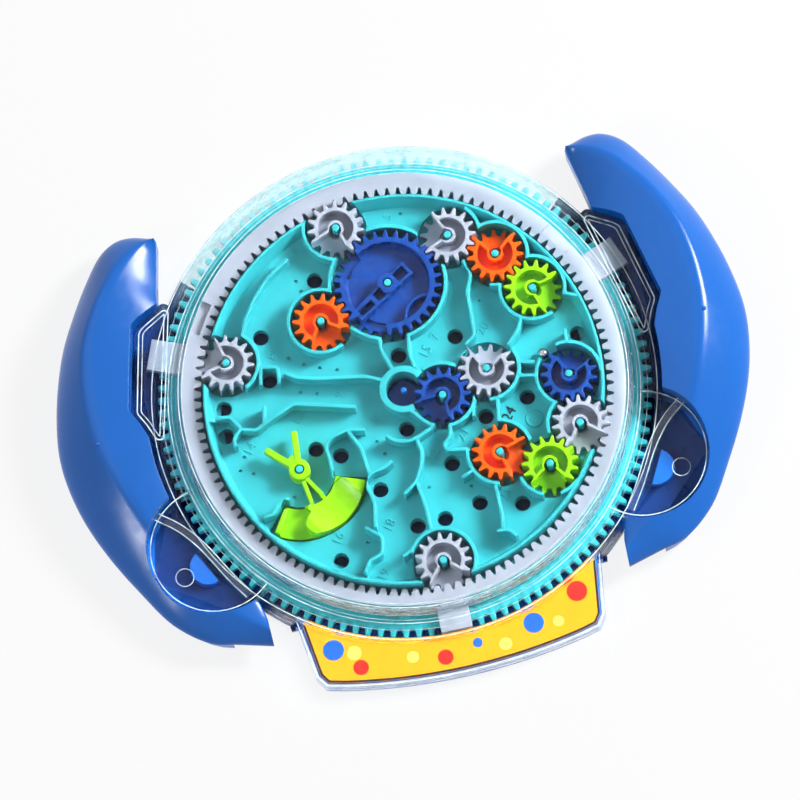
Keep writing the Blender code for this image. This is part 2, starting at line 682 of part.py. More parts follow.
def big_gear(name, mouths, material, place, turn, drum, parts, blanks):
    """Make the gear of 30 teeth with its deep dish, strap, lens rib and two mouths."""
    cutters = collection(name + "_cutters", blanks)
    additions = collection(name + "_additions", blanks)
    openings = collection(name + "_openings", blanks)
    gear = plate(name, [gear_outline(BIG_TEETH)], GEAR_BOTTOM, GEAR_TOP, parts, material, True)
    plate(name + "_dish", [circle(BIG_DISH_RADIUS, 36), circle(BIG_HUB_RADIUS, STEPS_HOLE)],
          DISH_FLOOR, WALL_TOP, cutters)
    for mouth, span in zip(mouths, BIG_MOUTH_SPANS):
        sector = ring_sector((0.0, 0.0), BIG_DISH_RADIUS - MODULE, BIG_PITCH_RADIUS + MODULE * 2,
                             mouth - turn - span / 2, mouth - turn + span / 2, 4)
        plate(name + "_mouth", [sector], BOARD_TOP, WALL_TOP, cutters)
    combine(gear, "DIFFERENCE", cutters)
    root = DISH_FLOOR - MODULE
    strap = plate(name + "_strap", [laid(STRAP_OUTLINE)], root, GEAR_TOP - STRAP_DROP, additions)
    rib = ring_sector((LENS_DISTANCE, 0.0), LENS_INNER_RADIUS, LENS_OUTER_RADIUS, 180.0 - LENS_SPAN / 2,
                      180.0 + LENS_SPAN / 2, 12)
    lens = plate(name + "_lens", [rib], root, GEAR_TOP - STRAP_DROP, additions)
    holes = []
    for i, (x0, x1, y0, y1) in enumerate(STRAP_HOLES):
        outline = laid([(x0, y0), (x1, y0), (x1, y1), (x0, y1)])
        holes.append(plate(f"{name}_strap_hole_{i}", [outline], DISH_FLOOR, WALL_TOP, openings))
    for obj in [strap] + holes:
        obj.rotation_euler.z = math.radians(STRAP_DIRECTION - turn)
    lens.rotation_euler.z = math.radians(LENS_DIRECTION - turn)
    combine(gear, "UNION", additions)
    cylinder(name + "_bore", (0.0, 0.0), BORE_RADIUS, GEAR_BOTTOM - GAP, WALL_TOP, STEPS_POST, openings)
    combine(gear, "DIFFERENCE", openings)
    merge_flats(gear)
    place_gear(gear, place, turn, drum, cutters)
    for obj in list(additions.objects) + list(openings.objects):
        obj.location = (place[0], place[1], 0.0)
        obj.rotation_euler.z += math.radians(turn)


def pocket_radius(name):
    """Return the radius of the pocket that a gear turns in."""
    return pitch_radius(tooth_count(name)) + ADDENDUM + POCKET_CLEARANCE


# Maze drum

def lever_sector(inner, outer, first, last, steps=8):
    """Return a stretch of a ring round the lever's pivot."""
    return ring_sector(lever_place(), inner, outer, first, last, steps)


def lever_place():
    """Return the lever's pivot."""
    return laid([LEVER_PLACE])[0]


def maze_drum(places, parts, blanks):
    """Make the board with its walls, pockets, holes and posts, and the flange that the thumbs turn."""
    walls = collection("drum_walls", blanks)
    cuts = collection("drum_cuts", blanks)
    posts = collection("drum_posts", blanks)
    drum = tub("maze_drum", BOARD_RADIUS, WALL_THICKNESS, BOARD_BOTTOM, BOARD_TOP, WALL_TOP, STEPS_LARGE,
               parts, "cyan")
    flange = outer_teeth(THUMB_TEETH, THUMB_TIP_RADIUS, THUMB_ROOT_RADIUS, THUMB_TIP_WIDTH,
                        THUMB_ROOT_WIDTH)
    plate("flange", [flange, circle(FLANGE_HOLE_RADIUS, STEPS_LARGE)], FLANGE_BOTTOM, FLANGE_TOP, walls)
    cylinder("well_wall", (0.0, 0.0), WELL_RADIUS + WELL_WALL, BOARD_BOTTOM, WALL_TOP, STEPS_HUB, walls)
    root = BOARD_TOP - WALL_ROOT
    for i, line in enumerate(MAZE_WALLS):
        plate(f"wall_{i}", [band(laid(line), WALL_THICKNESS)], root, WALL_TOP, walls)
    for i, (name, first, last) in enumerate(POCKET_WALLS):
        radius = pocket_radius(name)
        steps = max(3, round((last - first) * radius / (1.1 * MODULE * 180.0)))
        outline = ring_sector(places[name][0], radius - POCKET_CLEARANCE, radius + WALL_THICKNESS,
                              first, last, steps)
        plate(f"pocket_wall_{i}", [outline], root, WALL_TOP, walls)
    combine(drum, "UNION", walls)
    for name, _, _, _, _ in GEAR_TRAIN:
        steps = STEPS_WELL if name == "gear_blue_big" else STEPS_HUB
        place = places[name][0]
        cylinder(name + "_pocket", place, pocket_radius(name), POCKET_FLOOR, WINDOW_TOP, steps, cuts)
        cylinder(name + "_post", place, POST_RADIUS, BOARD_BOTTOM + MM, POST_TOP, STEPS_POST, posts)
    recess = lever_sector(LEVER_PAN_INNER - POCKET_CLEARANCE, LEVER_PAN_OUTER + POCKET_CLEARANCE,
                          LEVER_PAN_START - LEVER_PLAY, LEVER_PAN_END + LEVER_PLAY, 10)
    plate("lever_recess", [recess], POCKET_FLOOR, WINDOW_TOP, cuts)
    cylinder("lever_post", lever_place(), POST_RADIUS, BOARD_BOTTOM + MM, POST_TOP, STEPS_POST, posts)
    for i, place in enumerate(laid(BALL_HOLES)):
        cylinder(f"ball_hole_{i}", place, BALL_HOLE_RADIUS, 0.0, BOARD_TOP + MM, STEPS_HOLE, cuts)
    cylinder("well_bore", (0.0, 0.0), WELL_RADIUS, 0.0, WINDOW_TOP, STEPS_HUB, cuts)
    combine(drum, "DIFFERENCE", cuts)
    combine(drum, "UNION", posts)
    merge_flats(drum)
    return drum


def tilt_lever(drum, parts, blanks):
    """Make the lever with its two arms, two struts and the pan that the ball lands in."""
    place = lever_place()
    additions = collection("lever_additions", blanks)
    cuts = collection("lever_cuts", blanks)
    foot = BOARD_TOP + GAP
    plate_top = BOARD_TOP - 0.2 * MM
    pan = lever_sector(LEVER_PAN_INNER, LEVER_PAN_OUTER, LEVER_PAN_START, LEVER_PAN_END)
    lever = plate("tilt_lever", [pan], GEAR_BOTTOM, plate_top, parts, "lime")
    block = lever_sector(LEVER_PAN_INNER, LEVER_PAN_OUTER, LEVER_PAN_STEP, LEVER_PAN_END)
    plate("pan_block", [block], plate_top - MM, LEVER_PAN_TOP, additions)
    end = lever_sector(LEVER_PAN_INNER + PAN_END_INSET, LEVER_PAN_OUTER, LEVER_PAN_START,
                       LEVER_PAN_START + PAN_END_SPAN, 2)
    plate("pan_end", [end], plate_top - MM, LEVER_PAN_TOP - MM, additions)
    cylinder("lever_hub", place, LEVER_HUB_RADIUS, foot, GEAR_TOP, STEPS_HUB, additions)
    arm_low = GEAR_TOP - LEVER_ARM_HEIGHT
    for i, direction in enumerate(LEVER_ARMS):
        line = [polar(LEVER_HUB_RADIUS / 2, direction, place), polar(LEVER_ARM_REACH, direction, place)]
        plate(f"lever_arm_{i}", [band(line, LEVER_ARM_WIDTH)], arm_low, GEAR_TOP, additions)
    for i, direction in enumerate(LEVER_STRUTS):
        line = [polar(LEVER_HUB_RADIUS / 2, direction, place), polar(LEVER_PAN_INNER + MM, direction, place)]
        plate(f"lever_strut_{i}", [band(line, LEVER_STRUT_WIDTH)], foot, LEVER_PAN_TOP - MM, additions)
    combine(lever, "UNION", additions)
    cylinder("lever_bore", place, BORE_RADIUS, BOARD_TOP, WALL_TOP, STEPS_POST, cuts)
    scoop = cylinder("pan_scoop", (0.0, 0.0), SCOOP_RADIUS, 0.0, LEVER_PAN_OUTER * 2, 32, cuts)
    middle = (LEVER_PAN_STEP + LEVER_PAN_END) / 2
    centre = polar(LEVER_PAN_INNER / 2 + SCOOP_SHIFT, middle, place)
    scoop.location = (centre[0], centre[1], LEVER_PAN_TOP + SCOOP_RADIUS - SCOOP_DEPTH)
    scoop.rotation_euler = (0.0, math.radians(90.0), math.radians(middle))
    combine(lever, "DIFFERENCE", cuts)
    merge_flats(lever)
    lever.data.transform(Matrix.Translation((-place[0], -place[1], 0.0)))
    lever.location = (place[0], place[1], 0.0)
    lever.parent = drum


def steel_ball(drum, parts):
    """Make the ball that rolls in the maze."""
    shape = bmesh.new()
    bmesh.ops.create_uvsphere(shape, u_segments=14, v_segments=10, radius=BALL_RADIUS)
    ball = from_bmesh("steel_ball", shape, parts, "steel")
    place = laid([BALL_PLACE])[0]
    ball.location = (place[0], place[1], BOARD_TOP + GAP + BALL_RADIUS)
    ball.parent = drum


# Fixed inner pieces

def ring_gear(parts, blanks):
    """Make the toothed ring with its three tabs and two shallow recesses."""
    tabs = collection("ring_tabs", blanks)
    recesses = collection("ring_recesses", blanks)
    loops = [circle(RING_OUTER_RADIUS, STEPS_LARGE), inner_teeth()]
    ring = plate("ring_gear", loops, RING_BOTTOM, RING_TOP, parts, "grey")
    for i, angle in enumerate(TAB_ANGLES):
        reach = FRONT_TAB_REACH if i == 0 else SIDE_TAB_REACH
        line = [polar(RING_OUTER_RADIUS - MM, angle), polar(reach, angle)]
        plate(f"ring_tab_{i}", [band(line, TAB_WIDTH)], RING_BOTTOM, RING_BOTTOM + TAB_THICKNESS, tabs)
    combine(ring, "UNION", tabs)
    for i, angle in enumerate(RECESS_ANGLES):
        sector = ring_sector((0.0, 0.0), RING_PITCH_RADIUS + RING_DEDENDUM + GAP, RING_OUTER_RADIUS + MM,
                             angle - RECESS_SPAN / 2, angle + RECESS_SPAN / 2, 4)
        plate(f"ring_recess_{i}", [sector], RING_TOP - RECESS_DEPTH, RING_TOP + MM, recesses)
    for i, angle in enumerate(TAB_ANGLES[1:]):
        cylinder(f"tab_hole_{i}", polar(TAB_SCREW_RADIUS, angle), SCREW_SHANK_RADIUS + GAP, 0.0,
                 tab_screw_top() + GAP, STEPS_POST, recesses)
    combine(ring, "DIFFERENCE", recesses)
    merge_flats(ring)


def sun_pinion(parts, turn):
    """Make the fixed pinion in the centre well."""
    pinion = plate("sun_pinion", [gear_outline(SUN_TEETH)], GEAR_BOTTOM, GEAR_TOP - SUN_DROP, parts, "blue")
    pinion.rotation_euler.z = math.radians(turn)


# Housing outlines

def ear_outline(side, growth=0.0):
    """Return the outline of the cover's ear at one handle."""
    return grow(side_points(EAR_OUTLINE, side), growth)


def label_outline(growth=0.0):
    """Return the outline of the label bay, whose front edge is a shallow arc."""
    half = list(LABEL_SIDE)
    arc_top = LABEL_ARC_RADIUS - LABEL_REACH / MM
    for i in range(LABEL_ARC_STEPS + 1):
        x = LABEL_CORNER_X * (1 - 2 * i / LABEL_ARC_STEPS)
        half.append((x, arc_top - math.sqrt(LABEL_ARC_RADIUS ** 2 - x * x)))
    points = half + [(-x, y) for x, y in reversed(LABEL_SIDE)]
    return grow([(x * MM, y * MM - SKIRT_RADIUS) for x, y in points], growth)


def mirrored(place, side):
    """Return a place on the left side in metres, mirrored for side 1."""
    return side_points([place], side)[0]


def skirt_inner(height):
    """Return the skirt's inner radius at a height."""
    share = (height - BASE_FLOOR) / (LEDGE_UNDERSIDE + CLEAR_WALL - BASE_FLOOR)
    return SKIRT_RADIUS + (SKIRT_TOP_RADIUS - SKIRT_RADIUS) * share - CLEAR_WALL


# Handles

def handle_heights(share):
    """Return the crest's height and its place between the inner and outer edge, along the handle."""
    rise = smooth(share / 0.32) - smooth((share - 0.58) / 0.42)
    crest = HANDLE_HORN + (HANDLE_CREST - HANDLE_HORN) * rise
    place = 0.5 + 0.22 * smooth(share / 0.3) - 0.27 * smooth((share - 0.35) / 0.35)
    return crest, place


def handle_sections(side, upper):
    """Return the cross sections of a handle's cover or of its underside."""
    outer = through([Vector(mirrored(rib[0], side)) for rib in HANDLE_RIBS], 2)
    inner = through([Vector(mirrored(rib[1], side)) for rib in HANDLE_RIBS], 2)
    sections = []
    for i, (out, into) in enumerate(zip(outer, inner)):
        crest, place = handle_heights(i / (len(outer) - 1))
        low = SEAM_HEIGHT + GAP
        edge = low + (crest - low) * HANDLE_INNER_SHARE
        width = out - into
        if upper:
            rest = 1 - place
            points = ((0.0, low), (0.0, edge), (place * 0.55, edge + (crest - edge) * 0.62), (place, crest),
                      (place + rest * 0.42, low + (crest - low) * 0.84),
                      (place + rest * 0.82, low + (crest - low) * 0.46), (1.0, low))
        else:
            inset = min(HANDLE_FOOT_INSET / width.length, 0.4)
            points = ((0.0, SEAM_HEIGHT), (1.0, SEAM_HEIGHT), (1.0 - inset * 0.2, SEAM_HEIGHT * 0.4),
                      (1.0 - inset, 0.0), (0.0, 0.0))
        sections.append([(*(into + width * x), z) for x, z in points])
    return sections


def cover_footprint(side, low, group):
    """Add cutters that clear the cover's skirt, ear and thumb well out of a handle."""
    top = HANDLE_CREST + MM
    plate("ear_clearance", [ear_outline(side, GAP)], low, top, group)
    well = THUMB_WELL_RADIUS + CLEAR_WALL + GAP
    cylinder("well_clearance", mirrored(THUMB_WELL_PLACE, side), well, low, top, STEPS_WELL, group)


def handle_cover(name, side, parts, blanks):
    """Make the blue shell on top of one handle."""
    cuts = collection(name + "_cuts", blanks)
    cover = loft(name, handle_sections(side, True), parts, "base")
    cylinder("skirt_clearance", (0.0, 0.0), SKIRT_RADIUS + GAP, 0.0, HANDLE_CREST + MM, STEPS_LARGE, cuts)
    cover_footprint(side, 0.0, cuts)
    for place in HANDLE_SCREWS:
        cylinder(name + "_screw_hole", mirrored(place, side), SCREW_SHANK_RADIUS + GAP, 0.0,
                 handle_screw_top() + GAP, STEPS_POST, cuts)
    combine(cover, "DIFFERENCE", cuts)
    merge_flats(cover)


# Base and cover

def handle_underside(side, blanks):
    """Make the lower half of a handle, cleared round the cover, and return its collection."""
    clearance = collection("underside_clearance", blanks)
    underside = loft("handle_underside", handle_sections(side, False), blanks)
    cylinder("skirt_space", (0.0, 0.0), SKIRT_RADIUS + GAP, BASE_FLOOR, HANDLE_CREST, STEPS_LARGE, clearance)
    cover_footprint(side, BASE_FLOOR, clearance)
    combine(underside, "DIFFERENCE", clearance)
    return underside


def base_tray(parts, blanks):
    """Make the floor with the handle undersides, the centre boss, the track, the tab posts and the deck."""
    additions = collection("base_additions", blanks)
    cuts = collection("base_cuts", blanks)
    tray = cylinder("base_tray", (0.0, 0.0), SKIRT_RADIUS, 0.0, BASE_FLOOR, STEPS_LARGE, parts, "base")
    plate("label_floor", [label_outline()], 0.0, BASE_FLOOR, additions)
    root = BASE_FLOOR - MM
    flange_space = THUMB_TIP_RADIUS + FLANGE_CLEARANCE
    for side in (-1, 1):
        plate("ear_floor", [ear_outline(side, EAR_FLOOR_RIM)], 0.0, BASE_FLOOR, additions)
        additions.objects.link(handle_underside(side, blanks))
        facing = PAD_FACING if side < 0 else 180.0 - PAD_FACING
        half = arc(mirrored(PAD_PLACE, side), PAD_RADIUS, facing - 90.0, facing + 90.0, 12)
        plate("thumb_pad", [half], root, THUMB_WELL_FLOOR - CLEAR_WALL - GAP, additions)
    cylinder("centre_boss", (0.0, 0.0), WELL_RADIUS - GAP, root, POCKET_FLOOR, STEPS_HUB, additions)
    track = [circle(TRACK_RADIUS, STEPS_LARGE), circle(TRACK_RADIUS - TRACK_WIDTH, STEPS_LARGE)]
    plate("drum_track", track, root, FLANGE_BOTTOM - GAP, additions)
    rim_outer = skirt_inner(BASE_FLOOR + LOCATING_RIM_HEIGHT) - GAP
    rim = [circle(rim_outer, STEPS_LARGE), circle(rim_outer - LOCATING_RIM_WALL, STEPS_LARGE)]
    plate("locating_rim", rim, root, BASE_FLOOR + LOCATING_RIM_HEIGHT, additions)
    for angle in TAB_ANGLES[1:]:
        line = [polar(flange_space - MM, angle), polar(SIDE_TAB_REACH, angle)]
        plate("tab_post", [band(line, TAB_POST_WIDTH)], root, RING_BOTTOM - GAP, additions)
    plate("label_deck", [label_outline(-CLEAR_WALL - GAP)], root, LABEL_DECK, additions)
    combine(tray, "UNION", additions)
    space = [circle(flange_space, STEPS_LARGE), circle(FLANGE_HOLE_RADIUS, STEPS_LARGE)]
    plate("flange_space", space, FLANGE_BOTTOM, WINDOW_TOP, cuts)
    for place, _, _ in screw_places():
        cylinder("screw_well", place, SCREW_HEAD_RADIUS + GAP, -MM, SCREW_SINK + GAP, STEPS_HOLE, cuts)
        cylinder("screw_bore", place, SCREW_SHANK_RADIUS + GAP, 0.0, SEAM_HEIGHT + MM, STEPS_POST, cuts)
    combine(tray, "DIFFERENCE", cuts)
    merge_flats(tray)


def clear_cover(parts, blanks):
    """Make the clear cover: a hollow shell, then the cups of the two thumb wells."""
    outer = collection("cover_outer", blanks)
    inner = collection("cover_inner", blanks)
    cups = collection("cover_cups", blanks)
    cup_trim = collection("cup_trim", blanks)
    spaces = collection("cover_cup_spaces", blanks)
    space_trim = collection("cup_space_trim", blanks)
    foot = BASE_FLOOR + GAP
    ledge = LEDGE_UNDERSIDE + CLEAR_WALL
    profile = [(0.0, WINDOW_TOP), (WINDOW_RADIUS - WINDOW_EDGE, WINDOW_TOP),
               (WINDOW_RADIUS, WINDOW_TOP - WINDOW_EDGE), (LEDGE_INNER_RADIUS, ledge),
               (SKIRT_TOP_RADIUS, ledge), (SKIRT_RADIUS, foot), (0.0, foot)]
    cover = turned("clear_cover", profile, STEPS_LARGE, parts, "clear")
    wall = CLEAR_WALL
    hollow = [(0.0, WINDOW_UNDERSIDE), (WINDOW_RADIUS - wall, WINDOW_UNDERSIDE),
              (LEDGE_INNER_RADIUS - wall, LEDGE_UNDERSIDE), (SKIRT_TOP_RADIUS - wall, LEDGE_UNDERSIDE),
              (SKIRT_RADIUS - wall, foot), (SKIRT_RADIUS - wall, 0.0), (0.0, 0.0)]
    turned("hollow", hollow, STEPS_LARGE, inner)
    plate("label_bay", [label_outline()], foot, LABEL_WINDOW_UNDERSIDE + wall, outer)
    plate("label_hollow", [label_outline(-wall)], 0.0, LABEL_WINDOW_UNDERSIDE, inner)
    cylinder("bridge_inside", (0.0, 0.0), BRIDGE_RADIUS - wall, 0.0, WINDOW_TOP, STEPS_LARGE, cup_trim)
    sweep = THUMB_TIP_RADIUS + FLANGE_CLEARANCE
    cylinder("flange_sweep", (0.0, 0.0), sweep, 0.0, FLANGE_TOP + GAP, STEPS_LARGE, cup_trim)
    cylinder("bridge_outside", (0.0, 0.0), BRIDGE_RADIUS, 0.0, WINDOW_TOP + MM, STEPS_LARGE, space_trim)
    for side in (-1, 1):
        place = mirrored(THUMB_WELL_PLACE, side)
        plate("ear", [ear_outline(side)], foot, ledge, outer)
        plate("ear_hollow", [ear_outline(side, -wall)], 0.0, LEDGE_UNDERSIDE, inner)
        cup = cylinder("cup", place, THUMB_WELL_RADIUS + wall, THUMB_WELL_FLOOR - wall, THUMB_WELL_TOP,
                       STEPS_WELL, cups)
        combine(cup, "DIFFERENCE", cup_trim)
        space = cylinder("cup_space", place, THUMB_WELL_RADIUS, THUMB_WELL_FLOOR, WINDOW_TOP, STEPS_WELL,
                         spaces)
        combine(space, "DIFFERENCE", space_trim)
    combine(cover, "UNION", outer)
    combine(cover, "DIFFERENCE", inner)
    combine(cover, "UNION", cups)
    combine(cover, "DIFFERENCE", spaces)
    merge_flats(cover)


def label_card(parts, blanks):
    """Make the printed card that lies on the deck under the clear window."""
    cuts = collection("card_cuts", blanks)
    low = LABEL_DECK + GAP
    card = plate("label_card", [label_outline(-CLEAR_WALL - LABEL_RIM)], low, low + LABEL_CARD_THICKNESS,
                 parts, "card")
    cylinder("card_arc", (0.0, 0.0), SIDE_TAB_REACH + GAP, 0.0, WINDOW_TOP, STEPS_LARGE, cuts)
    combine(card, "DIFFERENCE", cuts)


# Screws

def handle_screw_top():
    """Return the height of a handle screw's tip."""
    return SCREW_SINK + HANDLE_SCREW_LENGTH


def tab_screw_top():
    """Return the height of a tab screw's tip."""
    return SCREW_SINK + TAB_SCREW_LENGTH


def screw_places():
    """Return the place, name and tip height of each screw."""
    screws = []
    for side, word in ((-1, "left"), (1, "right")):
        for i, place in enumerate(HANDLE_SCREWS):
            screws.append((mirrored(place, side), f"handle_screw_{word}_{i + 1}", handle_screw_top()))
    for angle, word in zip(TAB_ANGLES[1:], ("right", "left")):
        screws.append((polar(TAB_SCREW_RADIUS, angle), f"tab_screw_{word}", tab_screw_top()))
    return screws


def case_screws(parts):
    """Make the screws that hold the toy together from the back."""
    for place, name, tip in screw_places():
        top = SCREW_SINK
        low = top - SCREW_HEAD_HEIGHT
        profile = [(0.0, tip), (SCREW_SHANK_RADIUS * 0.5, tip), (SCREW_SHANK_RADIUS, tip - MM),
                   (SCREW_SHANK_RADIUS, top), (SCREW_HEAD_RADIUS, top),
                   (SCREW_HEAD_RADIUS, low + SCREW_HEAD_EDGE), (SCREW_HEAD_RADIUS * 0.7, low), (0.0, low)]
        screw = turned(name, profile, STEPS_POST, parts, "steel")
        screw.location = (place[0], place[1], 0.0)


def build():
    """Make every piece."""
    clear_scene()
    parts = collection("gear_maze")
    blanks = collection("cutters")
    places = gear_places()
    base_tray(parts, blanks)
    sun_pinion(parts, places["sun_pinion"][1])
    ring_gear(parts, blanks)
    clear_cover(parts, blanks)
    handle_cover("handle_cover_left", -1, parts, blanks)
    handle_cover("handle_cover_right", 1, parts, blanks)
    label_card(parts, blanks)
    drum = maze_drum(places, parts, blanks)
    for name, _, _, mouths, material in GEAR_TRAIN:
        place, turn = places[name]
        maker = big_gear if name == "gear_blue_big" else small_gear
        maker(name, mouths, material, place, turn, drum, parts, blanks)
    tilt_lever(drum, parts, blanks)
    steel_ball(drum, parts)
    case_screws(parts)


build()
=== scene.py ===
"""Hand-held gear ball maze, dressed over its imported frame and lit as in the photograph."""
import json
import logging
import math
from collections.abc import Callable, Iterable, Sequence
from dataclasses import dataclass
from enum import Enum

import bmesh
import bpy
from mathutils import Matrix, Vector

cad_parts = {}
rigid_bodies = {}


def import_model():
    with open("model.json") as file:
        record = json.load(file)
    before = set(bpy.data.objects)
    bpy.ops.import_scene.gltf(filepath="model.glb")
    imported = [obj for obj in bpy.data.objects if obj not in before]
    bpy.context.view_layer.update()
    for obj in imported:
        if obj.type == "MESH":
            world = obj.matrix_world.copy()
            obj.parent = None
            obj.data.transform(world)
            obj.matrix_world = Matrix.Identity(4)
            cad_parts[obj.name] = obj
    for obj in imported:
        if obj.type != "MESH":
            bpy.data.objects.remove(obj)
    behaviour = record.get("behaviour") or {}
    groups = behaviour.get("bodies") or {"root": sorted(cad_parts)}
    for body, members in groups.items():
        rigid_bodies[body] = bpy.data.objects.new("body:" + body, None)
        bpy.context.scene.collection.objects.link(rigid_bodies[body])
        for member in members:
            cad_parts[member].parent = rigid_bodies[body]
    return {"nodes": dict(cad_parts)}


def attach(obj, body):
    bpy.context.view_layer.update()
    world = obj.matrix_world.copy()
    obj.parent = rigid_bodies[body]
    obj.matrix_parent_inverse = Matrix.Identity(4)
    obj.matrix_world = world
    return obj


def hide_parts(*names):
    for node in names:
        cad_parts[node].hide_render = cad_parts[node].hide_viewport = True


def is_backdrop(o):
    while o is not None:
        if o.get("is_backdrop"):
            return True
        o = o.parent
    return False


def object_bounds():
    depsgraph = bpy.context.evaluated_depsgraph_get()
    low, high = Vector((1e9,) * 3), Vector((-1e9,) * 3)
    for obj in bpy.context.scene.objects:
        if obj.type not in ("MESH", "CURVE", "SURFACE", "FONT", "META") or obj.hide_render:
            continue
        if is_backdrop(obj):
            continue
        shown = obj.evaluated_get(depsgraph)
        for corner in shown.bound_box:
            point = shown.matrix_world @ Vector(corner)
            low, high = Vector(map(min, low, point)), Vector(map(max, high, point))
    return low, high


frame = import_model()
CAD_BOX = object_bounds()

LOG = logging.getLogger("gear_maze")
MM = 0.001

Point = tuple[float, float]
Line = Sequence[Point]
Loop = list[Point]
Triple = tuple[float, float, float]
Socket = bpy.types.NodeSocket

AXIS: Point = (0, 0)
LEVER_PIVOT: Point = (-48.496, -23.296)
BORE = 2.05
WHITE = (1, 1, 1, 1)
WELD = 0.0002
LEAST_MITRE = 0.35
ARM_SHARE = 0.46


# Plane geometry, in millimetres and degrees

def polar(radius: float, degrees: float, centre: Point = AXIS) -> Point:
    """Return the point at a radius and a direction from a centre."""
    angle = math.radians(degrees)
    return (centre[0] + radius * math.cos(angle), centre[1] + radius * math.sin(angle))


def bearing(point: Point) -> float:
    """Return a point's direction from the axis."""
    return math.degrees(math.atan2(point[1], point[0]))


def placed(points: Iterable[Point], turn: float, centre: Point) -> Loop:
    """Return points given about the axis, turned and moved to a centre."""
    return [polar(math.hypot(*point), bearing(point) + turn, centre) for point in points]


def ringed(radius: float, points: Iterable[Point]) -> Loop:
    """Return points at one radius, in the directions of the given ones."""
    return [polar(radius, bearing(point)) for point in points]


def facets(radius: float, span: float = 360) -> int:
    """Return how many facets keep an arc smooth: 32 to 240 for a full turn."""
    return max(3, round(span / 360 * min(240, max(32, 15 * math.sqrt(abs(radius))))))


def arc(centre: Point, radius: float, first: float, last: float) -> Loop:
    """Return points along an arc, both ends included."""
    steps = facets(radius, abs(last - first))
    return [polar(radius, first + (last - first) * i / steps, centre) for i in range(steps + 1)]


def circle(radius: float, centre: Point = AXIS) -> Loop:
    """Return the points of a circle."""
    return arc(centre, radius, 0, 360)[:-1]


def sector(centre: Point, inner: float, outer: float, first: float, last: float) -> Loop:
    """Return the outline of a stretch of a ring."""
    return arc(centre, outer, first, last) + arc(centre, inner, last, first)


def offset(points: Line, distance: float, closed: bool) -> Loop:
    """Shift a line to its right by a distance, with mitred corners.

    Args:
        points: the line's points in order.
        distance: how far the line moves, in millimetres.
        closed: whether the last point joins the first.

    Returns:
        The shifted points, as many as were given.
    """
    line = [Vector(point) for point in points]
    count = len(line)
    shifted = []
    for i, point in enumerate(line):
        normals = []
        for start, end in ((i - 1, i), (i, i + 1)):
            if closed or (start >= 0 and end < count):
                run = (line[end % count] - line[start]).normalized()
                normals.append(Vector((run.y, -run.x)))
        mitre = sum(normals, Vector((0, 0))).normalized()
        shifted.append(tuple(point + mitre * distance / max(mitre.dot(normals[0]), LEAST_MITRE)))
    return shifted


def grow(points: Line, distance: float) -> Loop:
    """Offset a closed outline outwards, whichever way it runs."""
    area = sum(a[0] * b[1] - b[0] * a[1] for a, b in zip(points, [*points[1:], points[0]]))
    return offset(points, distance if area > 0 else -distance, True)


def rounded(points: Line, radius: float, parts: int = 3, closed: bool = True) -> Loop:
    """Round the corners of a line or an outline.

    Args:
        points: the corners in order.
        radius: how far from each corner the bend starts.
        parts: how many straight parts make a bend.
        closed: whether the last point joins the first.

    Returns:
        The points of the smoothed line.
    """
    result = []
    count = len(points)
    for i, corner in enumerate(points):
        if not closed and i in (0, count - 1):
            result.append(tuple(corner))
            continue
        corner = Vector(corner)
        arms = [Vector(points[i - 1]) - corner, Vector(points[(i + 1) % count]) - corner]
        start, end = (corner + arm.normalized() * min(radius, arm.length * ARM_SHARE) for arm in arms)
        for k in range(parts + 1):
            t = k / parts
            result.append(tuple(start * (1 - t) ** 2 + corner * (2 * t * (1 - t)) + end * t ** 2))
    return result


def band(points: Line, width: float, bend: float = 0) -> Loop:
    """Return the outline of a wall with the given centre line, its corners bent smoothly."""
    line = rounded(points, bend, 5, False) if bend else list(points)
    return offset(line, width / 2, False) + offset(line, -width / 2, False)[::-1]


def toothed(count: int, turn: float, corners: Sequence[Triple], bend: float, parts: int = 3,
            centre: Point = AXIS) -> Loop:
    """Return the outline of a toothed wheel.

    Args:
        count: number of teeth.
        turn: direction of the first tooth.
        corners: for each corner of a tooth its radius, its side as a signed width, and the
            share of a pitch that it lies further on.
        bend: how far from each corner its bend starts.
        parts: how many straight parts make a bend.
        centre: the wheel's centre.

    Returns:
        The outline.
    """
    loop = []
    for i in range(count):
        for radius, width, share in corners:
            middle = turn + 360 * i / count + 360 * share / count
            loop.append(polar(radius, middle + math.degrees(width / radius / 2), centre))
    return rounded(loop, bend, parts)


def smooth(value: float) -> float:
    """Ease a value from 0 to 1."""
    value = min(max(value, 0), 1)
    return value * value * (3 - 2 * value)


def through(points: Line, parts: int) -> list[Vector]:
    """Return points on a smooth curve through the given ones, with so many parts a span.

    Args:
        points: the points to pass.
        parts: how many straight parts make a span.

    Returns:
        The curve's points.
    """
    line = [Vector(point) for point in points]
    result = []
    for i in range(len(line) - 1):
        p0, p1, p2, p3 = (line[min(max(k, 0), len(line) - 1)] for k in (i - 1, i, i + 1, i + 2))
        for k in range(parts):
            t = k / parts
            bend = (2 * p0 - 5 * p1 + 4 * p2 - p3) * t ** 2 + (3 * p1 - p0 - 3 * p2 + p3) * t ** 3
            result.append((2 * p1 + (p2 - p0) * t + bend) / 2)
    return result + [line[-1]]


def mirrored(points: Iterable[Point], side: int) -> Loop:
    """Return points given for the left side, mirrored for side 1."""
    return [(-side * x, y) for x, y in points]


def sided(word: str, side: int) -> str:
    """Return a name for side -1, the left, or side 1, the right."""
    return word + ("_left" if side < 0 else "_right")


# Finishes

